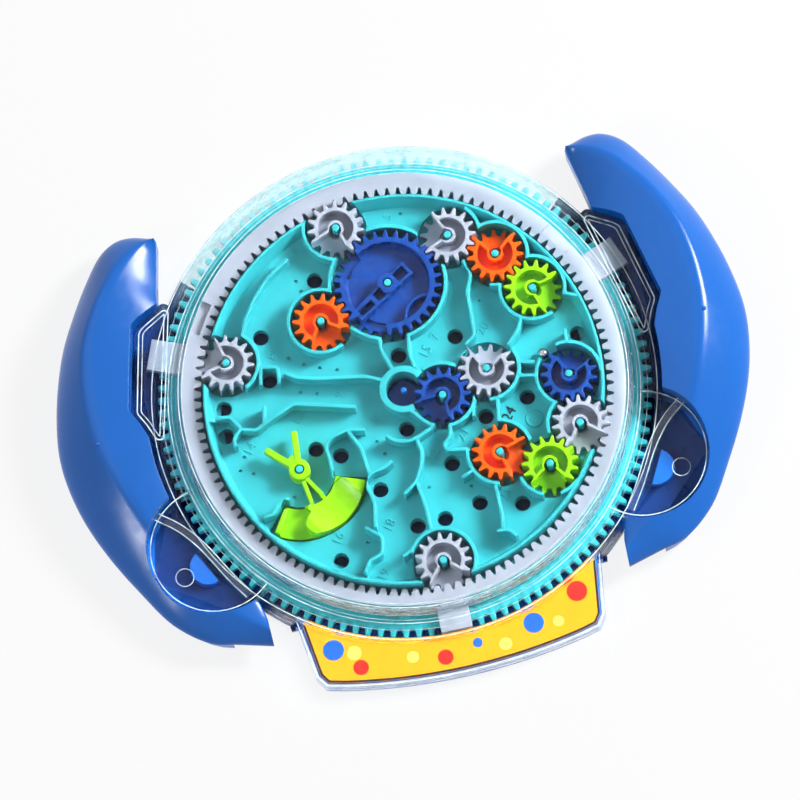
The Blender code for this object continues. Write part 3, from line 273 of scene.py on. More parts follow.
class Nodes:
    """The node tree of a material or a world in the making."""

    def __init__(self, owner: bpy.types.Material | bpy.types.World) -> None:
        """Start the owner's tree empty.

        Args:
            owner: the material or world.
        """
        owner.use_nodes = True
        self.owner = owner
        self.tree = owner.node_tree
        self.tree.nodes.clear()

    def add(self, kind: str, inputs: dict | None = None, **settings: object) -> bpy.types.Node:
        """Add a node.

        Args:
            kind: the node's type without its ShaderNode prefix.
            inputs: values or output sockets by input name or index.
            settings: properties of the node itself.

        Returns:
            The node.
        """
        node = self.tree.nodes.new("ShaderNode" + kind)
        for key, value in settings.items():
            setattr(node, key, value)
        for key, value in (inputs or {}).items():
            if isinstance(value, Socket):
                self.tree.links.new(value, node.inputs[key])
            else:
                node.inputs[key].default_value = value
        return node

    def math(self, kind: str, first: Socket, second: Socket | float) -> Socket:
        """Return two values joined by a math node."""
        return self.add("Math", {0: first, 1: second}, operation=kind).outputs[0]

    def mix(self, share: Socket | float, first: Socket, second: Socket) -> Socket:
        """Return two shaders mixed, with the second one's share."""
        return self.add("MixShader", {0: share, 1: first, 2: second}).outputs[0]

    def place(self) -> Socket:
        """Return the place in object space."""
        return self.add("TexCoord").outputs["Object"]

    def noise(self, scale: float, detail: float = 2) -> Socket:
        """Return a noise in object space, with its scale in features a metre."""
        inputs = {"Vector": self.place(), "Scale": scale, "Detail": detail}
        return self.add("TexNoise", inputs).outputs["Fac"]

    def around(self, radial: float, turning: float) -> tuple[Socket, Socket]:
        """Return the distance from the toy's axis, and a noise drawn out into arcs about it.

        Args:
            radial: features a metre outwards and upwards.
            turning: features a radian along the arcs.

        Returns:
            The distance's socket in metres, and the noise's.
        """
        x, y, z = self.add("SeparateXYZ", {0: self.place()}).outputs
        flat = self.add("CombineXYZ", {0: x, 1: y}).outputs[0]
        reach = self.add("VectorMath", {0: flat}, operation="LENGTH").outputs["Value"]
        angle = self.math("ARCTAN2", y, x)
        parts = [self.math("MULTIPLY", value, scale)
                 for value, scale in ((reach, radial), (angle, turning), (z, radial))]
        spot = self.add("CombineXYZ", dict(enumerate(parts))).outputs[0]
        noise = self.add("TexNoise", {"Vector": spot, "Scale": 1, "Detail": 3})
        return reach, noise.outputs["Fac"]

    def spread(self, value: Socket, low: float, high: float) -> Socket:
        """Stretch the middle of a noise to the range from low to high."""
        inputs = {"Value": value, "From Min": 0.3, "From Max": 0.7, "To Min": low, "To Max": high}
        return self.add("MapRange", inputs).outputs["Result"]

    def drifting(self, colour: Triple, scale: float, drift: float) -> Socket:
        """Return a colour whose brightness drifts by a share.

        Args:
            colour: the plain colour.
            scale: features a metre.
            drift: how far the brightness drifts, as a share.

        Returns:
            The colour's socket.
        """
        strength = self.spread(self.noise(scale), 1 - drift, 1 + drift)
        inputs = {"Color": (*colour, 1), "Value": strength}
        return self.add("HueSaturation", inputs).outputs["Color"]

    def skin(self, edge: float, relief: Socket, strength: float, depth: float = 0.1) -> Socket:
        """Return a normal with softened edges and a fine moulded relief.

        Args:
            edge: radius of the softened edges, in millimetres.
            relief: height of the relief.
            strength: strength of the relief.
            depth: depth of the relief, in millimetres.

        Returns:
            The normal's socket.
        """
        soft = self.add("Bevel", {"Radius": edge * MM}, samples=4).outputs["Normal"]
        inputs = {"Height": relief, "Strength": strength, "Distance": depth * MM, "Normal": soft}
        return self.add("Bump", inputs).outputs["Normal"]

    def finish(self, shader: Socket) -> bpy.types.Material:
        """Close a material's tree with its output."""
        self.add("OutputMaterial", {"Surface": shader})
        return self.owner


@dataclass(frozen=True)
class Plastic:
    """An opaque moulded plastic, or a print on it."""

    colour: Triple
    roughness: float = 0.3
    drift: float = 0.05
    edge: float = 0.3
    grain: float = 0.08
    sheen: float = 0.3
    uneven: float = 0.18
    flow_scale: float = 70
    gloss_scale: float = 260
    grain_scale: float = 1800

    def material(self, name: str) -> bpy.types.Material:
        """Make the material with flow marks, uneven gloss and grain.

        Args:
            name: the material's name.

        Returns:
            The material.
        """
        nodes = Nodes(bpy.data.materials.new(name))
        low, high = self.roughness * (1 - self.uneven), self.roughness * (1 + self.uneven)
        return nodes.finish(nodes.add("BsdfPrincipled", {
            "Base Color": nodes.drifting(self.colour, self.flow_scale, self.drift),
            "Roughness": nodes.spread(nodes.noise(self.gloss_scale, 4), low, high),
            "Specular IOR Level": self.sheen,
            "Normal": nodes.skin(self.edge, nodes.noise(self.grain_scale), self.grain),
        }).outputs[0])


@dataclass(frozen=True)
class ClearPlastic:
    """A clear moulded plastic that lets the light through to what lies below.

    It mixes in a pale painted reflection, a glare, over two ranges, in metres: along +Y, and outwards
    from the toy's axis.
    """

    tint: Triple = (0.975, 0.993, 1)
    roughness: float = 0.015
    bend: float = 1.16
    wave: float = 0.01
    painted_glare: float = 0
    glare_colour: Triple = (0.55, 0.8, 0.84)
    glare_back: Point = (0.055, 0.085)
    glare_rim: Point = (0.0955, 0.0985)
    shade: Triple = (0.93, 0.965, 0.975)
    deepest: float = 6.5
    glare_drift: Point = (300, 0.2)
    glare_roughness: float = 0.2
    glare_least: float = 0.2
    ripples: Point = (420, 9)
    tint_drift: Point = (40, 0.01)
    gloss_scale: float = 120
    uneven: float = 2.5
    edge: float = 0.25
    wave_depth: float = 1

    def with_painted_glare(self, nodes: Nodes, clear: Socket, reach: Socket, arcs: Socket) -> Socket:
        """Return the clear shader with its painted reflection mixed in.

        Args:
            nodes: the tree in the making.
            clear: the clear shader.
            reach: the distance from the axis.
            arcs: the noise in arcs.

        Returns:
            The mixed shader.
        """
        glare_shader = nodes.add("BsdfPrincipled", {
            "Base Color": nodes.drifting(self.glare_colour, *self.glare_drift),
            "Roughness": self.glare_roughness,
        }).outputs[0]
        back = nodes.add("SeparateXYZ", {0: nodes.place()}).outputs["Y"]
        share = nodes.spread(arcs, self.painted_glare * self.glare_least, self.painted_glare)
        for value, (start, end) in ((back, self.glare_back), (reach, self.glare_rim)):
            limit = nodes.add("MapRange", {"Value": value, "From Min": start, "From Max": end})
            share = nodes.math("MULTIPLY", share, limit.outputs["Result"])
        return nodes.mix(share, clear, glare_shader)

    def material(self, name: str) -> bpy.types.Material:
        """Make the material; for shadow rays and far down it is plainly see-through.

        Args:
            name: the material's name.

        Returns:
            The material.
        """
        nodes = Nodes(bpy.data.materials.new(name))
        reach, arcs = nodes.around(*self.ripples)
        clear = nodes.add("BsdfPrincipled", {
            "Base Color": nodes.drifting(self.tint, *self.tint_drift),
            "Roughness": nodes.spread(nodes.noise(self.gloss_scale), self.roughness,
                                      self.roughness * self.uneven),
            "IOR": self.bend,
            "Transmission Weight": 1,
            "Normal": nodes.skin(self.edge, arcs, self.wave, self.wave_depth),
        }).outputs[0]
        if self.painted_glare:
            clear = self.with_painted_glare(nodes, clear, reach, arcs)
        path = nodes.add("LightPath").outputs
        deep = nodes.math("GREATER_THAN", path["Transmission Depth"], self.deepest)
        plain = nodes.math("MAXIMUM", path["Is Shadow Ray"], deep)
        open_light = nodes.add("BsdfTransparent", {"Color": (*self.shade, 1)}).outputs[0]
        return nodes.finish(nodes.mix(plain, clear, open_light))


@dataclass(frozen=True)
class Steel:
    """Polished or plated steel."""

    colour: Triple = (0.42, 0.42, 0.43)
    roughness: float = 0.1
    uneven: Point = (0.6, 1.6)
    drift: Point = (300, 0.06)
    gloss: Point = (900, 4)
    edge: float = 0.1
    marks: Point = (3000, 3)
    depth: float = 0.05

    def material(self, name: str) -> bpy.types.Material:
        """Make the metal with faint handling marks.

        Args:
            name: the material's name.

        Returns:
            The material.
        """
        nodes = Nodes(bpy.data.materials.new(name))
        low, high = (self.roughness * share for share in self.uneven)
        return nodes.finish(nodes.add("BsdfPrincipled", {
            "Base Color": nodes.drifting(self.colour, *self.drift),
            "Metallic": 1,
            "Roughness": nodes.spread(nodes.noise(*self.gloss), low, high),
            "Normal": nodes.skin(self.edge, nodes.noise(*self.marks), self.depth),
        }).outputs[0])


def ink(colour: Triple, roughness: float = 0.42) -> tuple[str, Plastic]:
    """Return the card's slot and a flat print in a colour."""
    return ("card", Plastic(colour, roughness, drift=0.02, edge=0.05, grain=0.03))


class Look(Enum):
    """The finishes of the toy, by the record's material slots and the print's inks, with painted shade
    and painted highlights.
    """

    BASE = ("base", Plastic((0.002, 0.14, 0.60), 0.22, drift=0.02, edge=0.5, grain=0.01, sheen=0.4))
    CYAN = ("cyan", Plastic((0.034, 0.46, 0.51), 0.34, sheen=0.25))
    GREY = ("grey", Plastic((0.38, 0.405, 0.49), 0.38))
    ORANGE = ("orange", Plastic((0.95, 0.10, 0), 0.3, sheen=0.2))
    LIME = ("lime", Plastic((0.27, 0.66, 0), 0.28, sheen=0.25))
    # A darker copy of BASE: painted shade for the tray inside the drum's hollow and the thumb wells.
    BASE_PAINTED_SHADE = ("base", Plastic((0.001, 0.032, 0.18), drift=0.03, grain=0.02, sheen=0.2))
    BLUE = ("blue", Plastic((0.001, 0.048, 0.29), 0.26, sheen=0.25))
    # CLEAR and CLEAR_WALL mix a pale painted reflection into the cover's far side and rim.
    CLEAR = ("clear", ClearPlastic(painted_glare=0.6))
    CLEAR_WALL = ("clear", ClearPlastic((0.9, 0.98, 0.99), 0.02, bend=1.36, wave=0.6, painted_glare=0.6))
    # Milky white all over: painted highlights for the thin lines of light along the cover's edges.
    PAINTED_GLINT = ("clear", ClearPlastic((0.95, 0.99, 1), 0.05, bend=1.3, wave=0.3, painted_glare=1,
                                   glare_colour=(0.85, 0.95, 0.97), glare_back=(-1, -0.9),
                                   glare_rim=(-0.2, -0.1)))
    STEEL = ("steel", Steel())
    CARD = ink((1, 0.40, 0.006))
    INK_DARK = ink((0.006, 0.012, 0.03), 0.4)
    INK_YELLOW = ink((1, 0.78, 0.12))
    INK_RED = ink((0.86, 0.02, 0.012))
    INK_BLUE = ink((0.012, 0.13, 0.62))

    @property
    def slot(self) -> str:
        """The record's material slot."""
        return self.value[0]

    def material(self) -> bpy.types.Material:
        """Return the look's material, made once."""
        name = "look_" + self.name.lower()
        return bpy.data.materials.get(name) or self.value[1].material(name)


# Shapes

def stand(name: str, data: bpy.types.ID) -> bpy.types.Object:
    """Put a new object with the data into the scene.

    Args:
        name: the object's name.
        data: its mesh, lamp or camera.

    Returns:
        The object.
    """
    obj = bpy.data.objects.new(name, data)
    bpy.context.scene.collection.objects.link(obj)
    return obj


class Shape:
    """A mesh in the making, in millimetres, with a look's index on each face."""

    def __init__(self, *looks: Look) -> None:
        """Start an empty shape with its looks."""
        self.looks = looks
        self.mesh = bmesh.new()

    def skin(self, loops: Sequence[Sequence[Triple]], look: int = 0, wrap: bool = False) -> "Shape":
        """Join closed loops of equal counts.

        Args:
            loops: the loops in order, each of points with three coordinates.
            look: index of the faces' look.
            wrap: whether the last loop joins the first; otherwise both ends are capped.

        Returns:
            The shape itself.
        """
        rings = [[self.mesh.verts.new(point) for point in loop] for loop in loops]
        count = len(rings[0])
        faces = [] if wrap else [rings[0][::-1], rings[-1]]
        for ring, after in zip(rings, rings[1:] + (rings[:1] if wrap else [])):
            faces += [(ring[i], ring[i - count + 1], after[i - count + 1], after[i])
                      for i in range(count)]
        for corners in faces:
            self.mesh.faces.new(corners).material_index = look
        return self

    def prism(self, outline: Line, low: float, high: float, edge: float = 0,
              look: int = 0) -> "Shape":
        """Raise a flat outline.

        Args:
            outline: the closed outline.
            low: height of the foot.
            high: height of the top.
            edge: radius of the top edge.
            look: index of the faces' look.

        Returns:
            The shape itself.
        """
        loops = [[(x, y, low) for x, y in outline]]
        for turn in ((0, 30, 60, 90) if edge else (0,)):
            inset = edge * (1 - math.cos(math.radians(turn)))
            height = high - edge * (1 - math.sin(math.radians(turn)))
            loops.append([(x, y, height) for x, y in (grow(outline, -inset) if inset else outline)])
        return self.skin(loops, look)

    def collar(self, outer: Line, inner: Line, low: float, high: float, edge: float = 0) -> "Shape":
        """Raise the space between two outlines of equal counts, with softened top edges.

        Args:
            outer: the outline outside.
            inner: the outline inside.
            low: height of the foot.
            high: height of the top.
            edge: size of the softened edges.

        Returns:
            The shape itself.
        """
        rings = [(outer, 0, low), (outer, 0, high - edge), (outer, -edge * 0.3, high - edge * 0.3),
                 (outer, -edge, high), (inner, edge, high), (inner, edge * 0.3, high - edge * 0.3),
                 (inner, 0, high - edge), (inner, 0, low)]
        if not edge:
            rings = [rings[0], rings[1], rings[6], rings[7]]
        loops = [[(x, y, z) for x, y in (grow(line, shift) if shift else line)]
                 for line, shift, z in rings]
        return self.skin(loops, wrap=True)

    def turned(self, profile: Line, centre: Point = AXIS, steps: int = 0) -> "Shape":
        """Turn a closed outline of (radius, height) points about an upright axis.

        Args:
            profile: the closed outline.
            centre: place of the axis.
            steps: how many facets a turn has; 0 for as many as keep it smooth.

        Returns:
            The shape itself.
        """
        steps = steps or facets(max(radius for radius, _ in profile))
        loops = [[(*polar(radius, 360 * i / steps, centre), height) for radius, height in profile]
                 for i in range(steps)]
        return self.skin(loops, wrap=True)

    def words(self, text: str, place: Point, size: float, turn: float, low: float, rise: float,
              look: int = 0) -> "Shape":
        """Set plain raised characters.

        Args:
            text: the characters.
            place: centre of the characters.
            size: character size in millimetres.
            turn: reading direction in degrees.
            low: height of their foot.
            rise: how far they stand up.
            look: index of the faces' look.

        Returns:
            The shape itself.
        """
        curve = bpy.data.curves.new("characters", "FONT")
        curve.body = text
        curve.size = size
        curve.align_x = curve.align_y = "CENTER"
        curve.extrude = rise / 2
        curve.resolution_u = 3
        source = bpy.data.objects.new("characters", curve)
        mesh = bpy.data.meshes.new_from_object(source)
        mesh.transform(Matrix.Translation((*place, low + rise / 2))
                       @ Matrix.Rotation(math.radians(turn), 4, "Z"))
        bpy.data.objects.remove(source)
        before = len(self.mesh.faces)
        self.mesh.from_mesh(mesh)
        self.mesh.faces.ensure_lookup_table()
        for face in self.mesh.faces[before:]:
            face.material_index = look
        return self

    def build(self, name: str) -> bpy.types.Object:
        """Turn the shape into an object of the scene, in metres.

        Args:
            name: the object's name.

        Returns:
            The object.
        """
        bmesh.ops.remove_doubles(self.mesh, verts=self.mesh.verts, dist=WELD)
        bmesh.ops.recalc_face_normals(self.mesh, faces=self.mesh.faces)
        bmesh.ops.scale(self.mesh, verts=self.mesh.verts, vec=(MM, MM, MM))
        mesh = bpy.data.meshes.new(name)
        self.mesh.to_mesh(mesh)
        self.mesh.free()
        for look in self.looks:
            mesh.materials.append(look.material())
        return stand(name, mesh)


def block(look: Look, outline: Line, low: float, high: float, edge: float = 0) -> Shape:
    """Return a flat outline raised in a look, as a shape of its own."""
    return Shape(look).prism(outline, low, high, edge)


class Piece:
    """A visible piece: an object that is shaped further and then rides on its body."""

    def __init__(self, name: str, shape: Shape) -> None:
        """Build the shape under the piece's name."""
        self.look = shape.looks[0]
        self.obj = shape.build(name)

    def combine(self, operation: str, tools: Sequence[Shape]) -> "Piece":
        """Add or cut shapes and bake the result.

        Args:
            operation: UNION or DIFFERENCE.
            tools: the shapes to add or cut.

        Returns:
            The piece itself.
        """
        group = bpy.data.collections.new("tools")
        bpy.context.scene.collection.children.link(group)
        for i, tool in enumerate(tools):
            obj = tool.build(f"tool_{i}")
            bpy.context.scene.collection.objects.unlink(obj)
            group.objects.link(obj)
        boolean = self.obj.modifiers.new("combine", "BOOLEAN")
        boolean.operation = operation
        boolean.operand_type = "COLLECTION"
        boolean.collection = group
        boolean.solver = "EXACT"
        view = bpy.context.evaluated_depsgraph_get()
        baked = bpy.data.meshes.new_from_object(self.obj.evaluated_get(view))
        self.obj.modifiers.clear()
        self.obj.data = baked
        for obj in list(group.objects):
            bpy.data.objects.remove(obj)
        bpy.data.collections.remove(group)
        return self

    def add(self, *tools: Shape) -> "Piece":
        """Join shapes to the piece."""
        return self.combine("UNION", tools)

    def cut(self, *tools: Shape) -> "Piece":
        """Cut shapes out of the piece."""
        return self.combine("DIFFERENCE", tools)

    def repaint(self, look: Look, chosen: Callable[[bpy.types.MeshPolygon], bool]) -> "Piece":
        """Give the chosen faces another look.

        Args:
            look: the other look.
            chosen: tells whether a face gets it.

        Returns:
            The piece itself.
        """
        mesh = self.obj.data
        mesh.materials.append(look.material())
        for face in mesh.polygons:
            if chosen(face):
                face.material_index = len(mesh.materials) - 1
        return self

    def settle(self, body: str, *nodes: str, angle: float = 32) -> None:
        """Smooth the piece, let it ride on its body and stand for its nodes.

        Args:
            body: name of the body that it moves with.
            nodes: CAD nodes that it replaces.
            angle: edges sharper than this stay crisp, in degrees.
        """
        mesh = self.obj.data
        mesh.shade_smooth()
        mesh.set_sharp_from_angle(angle=math.radians(angle))
        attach(self.obj, body)
        if nodes:
            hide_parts(*nodes)
        self.look.slot
        LOG.info("%s on %s: %d faces, stands for %s", self.obj.name, body, len(mesh.polygons),
                 ", ".join(nodes) or "nothing")


# Heights shared by the pieces, in millimetres above the surface that the toy rests on

@dataclass(frozen=True)
class Levels:
    """Heights of the maze's storeys."""

    flange: Point = (4, 8)
    board: Point = (7, 12.4)
    pocket: float = 9
    wall: float = 20.8
    gear: Point = (9.3, 20.4)
    dish: float = 13.8
    post: float = 21
    window: Point = (21.4, 23)
    ledge: Point = (13, 14.4)
    base: float = 2
    seam: float = 9.7
    gap: float = 0.3


LEVELS = Levels()


# Gear train

@dataclass(frozen=True)
class Gear:
    """One gear of the train: where it meshes and how it is turned.

    The direction runs from the neighbour's centre; the mouths are world directions.
    """

    name: str
    neighbour: str
    direction: float
    mouths: tuple[float, ...]

    @property
    def look(self) -> Look:
        """The look that the gear's name tells."""
        return Look[self.name.split("_")[1].upper()]


@dataclass
class GearTrain:
    """The planetary train: gears carried by the drum between a fixed ring and a fixed pinion."""

    module: float = 1.4
    addendum: float = 1.2
    dedendum: float = 1.7
    tip_width: float = 1.9
    root_width: float = 4.4
    bend: float = 0.5
    pocket_margin: float = 0.9
    ring: int = 120
    sun: int = 8
    big: int = 30
    small: int = 15
    gears: tuple[Gear, ...] = (
        Gear("gear_grey_1", "ring_gear", 100, (244.5,)),
        Gear("gear_grey_2", "ring_gear", 158.4, (146,)),
        Gear("gear_grey_3", "ring_gear", -23.8, (279,)),
        Gear("gear_grey_4", "ring_gear", -89.5, (274.5,)),
        Gear("gear_blue_big", "gear_grey_1", -59.8, (140, 236.5)),
        Gear("gear_grey_5", "gear_blue_big", 26.7, (158.5,)),
        Gear("gear_orange_1", "gear_blue_big", 197.9, (282.5,)),
        Gear("gear_orange_2", "gear_grey_5", -34.8, (83.5,)),
        Gear("gear_lime_1", "gear_orange_2", -55.8, (329.5,)),
        Gear("gear_blue_1", "gear_grey_3", 90.5, (66.5,)),
        Gear("gear_lime_2", "gear_grey_3", 221.8, (260.5,)),
        Gear("gear_orange_3", "gear_lime_2", 153.7, (332.5,)),
        Gear("gear_blue_2", "sun_pinion", -21.1, (227.5,)),
        Gear("gear_grey_6", "gear_blue_2", 19.2, (75.5,)),
    )

    def teeth(self, name: str) -> int:
        """Return a gear's tooth count."""
        counts = {"ring_gear": self.ring, "sun_pinion": self.sun, "gear_blue_big": self.big}
        return counts.get(name, self.small)

    def pitch(self, name: str) -> float:
        """Return a gear's pitch radius."""
        return self.module * self.teeth(name) / 2

    def pocket(self, name: str) -> float:
        """Return the radius of the pocket that a gear turns in."""
        return self.pitch(name) + self.addendum + self.pocket_margin

    def places(self) -> dict[str, tuple[Point, float]]:
        """Return each gear's centre and the direction of one of its teeth, all in mesh.

        Returns:
            The centre and the direction by name, with the ring and the pinion.
        """
        places = {"ring_gear": (AXIS, 0), "sun_pinion": (AXIS, 0)}
        for gear in self.gears:
            centre, tooth = places[gear.neighbour]
            other, own = self.teeth(gear.neighbour), self.teeth(gear.name)
            share = (gear.direction - tooth) * other / 360
            inside = gear.neighbour == "ring_gear"
            reach = self.pitch(gear.neighbour) + self.pitch(gear.name) * (-1 if inside else 1)
            turn = (gear.direction + (0.5 - share) * 360 / own if inside
                    else gear.direction + 180 + (share + 0.5) * 360 / own)
            places[gear.name] = (polar(reach, gear.direction, centre), turn)
        return places

    def carried(self) -> dict[str, Point]:
        """Return the centres of the gears that the drum carries."""
        places = self.places()
        return {gear.name: places[gear.name][0] for gear in self.gears}

    def outline(self, name: str) -> Loop:
        """Return a gear's outline in mesh, with slender teeth that are round at their tips.

        Args:
            name: the gear's node.

        Returns:
            The outline.
        """
        centre, turn = self.places()[name]
        pitch = self.pitch(name)
        tip, root = pitch + self.addendum, pitch - self.dedendum
        thin, thick = self.tip_width / 2, self.root_width / 2
        corners = ((root, -thick, 0), (tip, -thin, 0), (tip, thin, 0), (root, thick, 0))
        return toothed(self.teeth(name), turn, corners, self.bend, centre=centre)


@dataclass
class CarriedGear:
    """What the gears on the drum's posts share: their teeth, their place and their bore."""

    train: GearTrain
    gear: Gear
    past_tips: float = 3

    @property
    def centre(self) -> Point:
        """The gear's centre."""
        return self.train.carried()[self.gear.name]

    @property
    def reach(self) -> float:
        """A radius that lies past the teeth."""
        return self.train.pitch(self.gear.name) + self.past_tips

    def block(self, outline: Line, low: float, high: float, edge: float = 0) -> Shape:
        """Return an outline raised in the gear's look."""
        return block(self.gear.look, outline, low, high, edge)

    def blank(self) -> Piece:
        """Make the toothed blank."""
        name = self.gear.name
        return Piece(name + "_moulded", self.block(self.train.outline(name), *LEVELS.gear, 0.3))

    def hole(self, top: float) -> Shape:
        """Return what the bore cuts away, up to a height."""
        return self.block(circle(BORE, self.centre), LEVELS.gear[0] - 1, top)


@dataclass
class SmallGear(CarriedGear):
    """A gear of 15 teeth with a C-shaped dish and a mouth that takes the ball."""

    hub: float = 3.3
    dish: float = 7.3
    mouth: float = 87
    mouth_wall: float = 1.1
    mouth_rise: float = 2.6
    slot: Triple = (2.55, 0.85, 12.7)

    def dish_outline(self, first: float, last: float) -> Loop:
        """Return the dish, which leaves a wall along each side of the mouth.

        Args:
            first: direction of the mouth's near side.
            last: direction of its far side.

        Returns:
            The outline.
        """
        inner, outer = (math.degrees(math.asin(self.mouth_wall / radius))
                        for radius in (self.hub, self.dish))
        outside = arc(self.centre, self.dish, first + outer, last - outer)
        return outside + arc(self.centre, self.hub, last - inner, first + inner)

    def mouth_wedge(self, direction: float) -> Shape:
        """Return the wedge that opens the mouth; its floor falls from the hub to the rim.

        Args:
            direction: where the mouth points.

        Returns:
            The wedge.
        """
        spread = self.reach * math.tan(math.radians(self.mouth / 2))
        floor = LEVELS.board[1]
        triangle = (AXIS, (self.reach, -spread), (self.reach, spread))
        corners = placed(triangle, direction, self.centre)
        lows = (floor + self.mouth_rise, floor, floor)
        return Shape(self.gear.look).skin([[(*corner, low) for corner, low in zip(corners, lows)],
                                           [(*corner, LEVELS.wall) for corner in corners]])

    def build(self) -> None:
        """Make the gear in place."""
        direction, top = self.gear.mouths[0], LEVELS.wall
        dish = self.dish_outline(direction + self.mouth / 2, direction + 360 - self.mouth / 2)
        radius, shift, low = self.slot
        slot = circle(radius, polar(shift, direction, self.centre))
        piece = self.blank()
        piece.cut(self.mouth_wedge(direction), self.block(dish, LEVELS.dish, top),
                  self.block(slot, low, top + 0.5), self.hole(top + 1))
        piece.settle(self.gear.name, self.gear.name)


@dataclass
class BigGear(CarriedGear):
    """The gear of 30 teeth with its deep dish, strap, curved rib and two mouths."""

    dish: float = 17.2
    hub: float = 4.2
    slope: float = 0.8
    spans: Point = (35, 39)
    lap: float = 1.4
    strap: tuple[Point, ...] = ((-18.2, -5), (10.5, -3.6), (10.5, 3), (-18.2, 0.6))
    windows: tuple[tuple[float, float, float, float], ...] = (
        (-16.8, -9.5, -3.6, -0.7), (-7.6, -3.6, -3.4, 0.7), (3.6, 9.2, -2.5, 1.8))
    strap_turn: float = 29
    rib: Triple = (21.5, 8.4, 9.6)
    rib_span: Point = (118, 242)
    rib_turn: float = -52.5
    sunk: float = 1.4
    drop: float = 1.2

    def mouth_shapes(self) -> list[Shape]:
        """Return what the two mouths cut away.

        Returns:
            One shape for each mouth.
        """
        return [self.block(sector(self.centre, self.dish - self.lap, self.reach, mouth - span / 2,
                                  mouth + span / 2), LEVELS.board[1], LEVELS.wall)
                for mouth, span in zip(self.gear.mouths, self.spans)]

    def build(self) -> None:
        """Make the gear in place."""
        centre, low, wall = self.centre, LEVELS.dish, LEVELS.wall
        dish = Shape(self.gear.look).turned(
            [(self.hub, low), (self.dish - self.slope, low), (self.dish, low + self.slope),
             (self.dish, wall + 1), (self.hub, wall + 1)], centre)
        piece = self.blank().cut(dish, *self.mouth_shapes())
        shift, inner, outer = self.rib
        rib = [(shift + x, y) for x, y in sector(AXIS, inner, outer, *self.rib_span)]
        foot, top = low - self.sunk, LEVELS.gear[1] - self.drop
        piece.add(self.block(placed(self.strap, self.strap_turn, centre), foot, top, 0.25),
                  self.block(placed(rib, self.rib_turn, centre), foot, top + 0.01, 0.25))
        holes = [self.hole(wall)]
        for x0, x1, y0, y1 in self.windows:
            corners = rounded([(x0, y0), (x1, y0), (x1, y1), (x0, y1)], 0.5)
            holes.append(self.block(placed(corners, self.strap_turn, centre), low, wall))
        piece.cut(*holes).settle(self.gear.name, self.gear.name)


# Maze drum

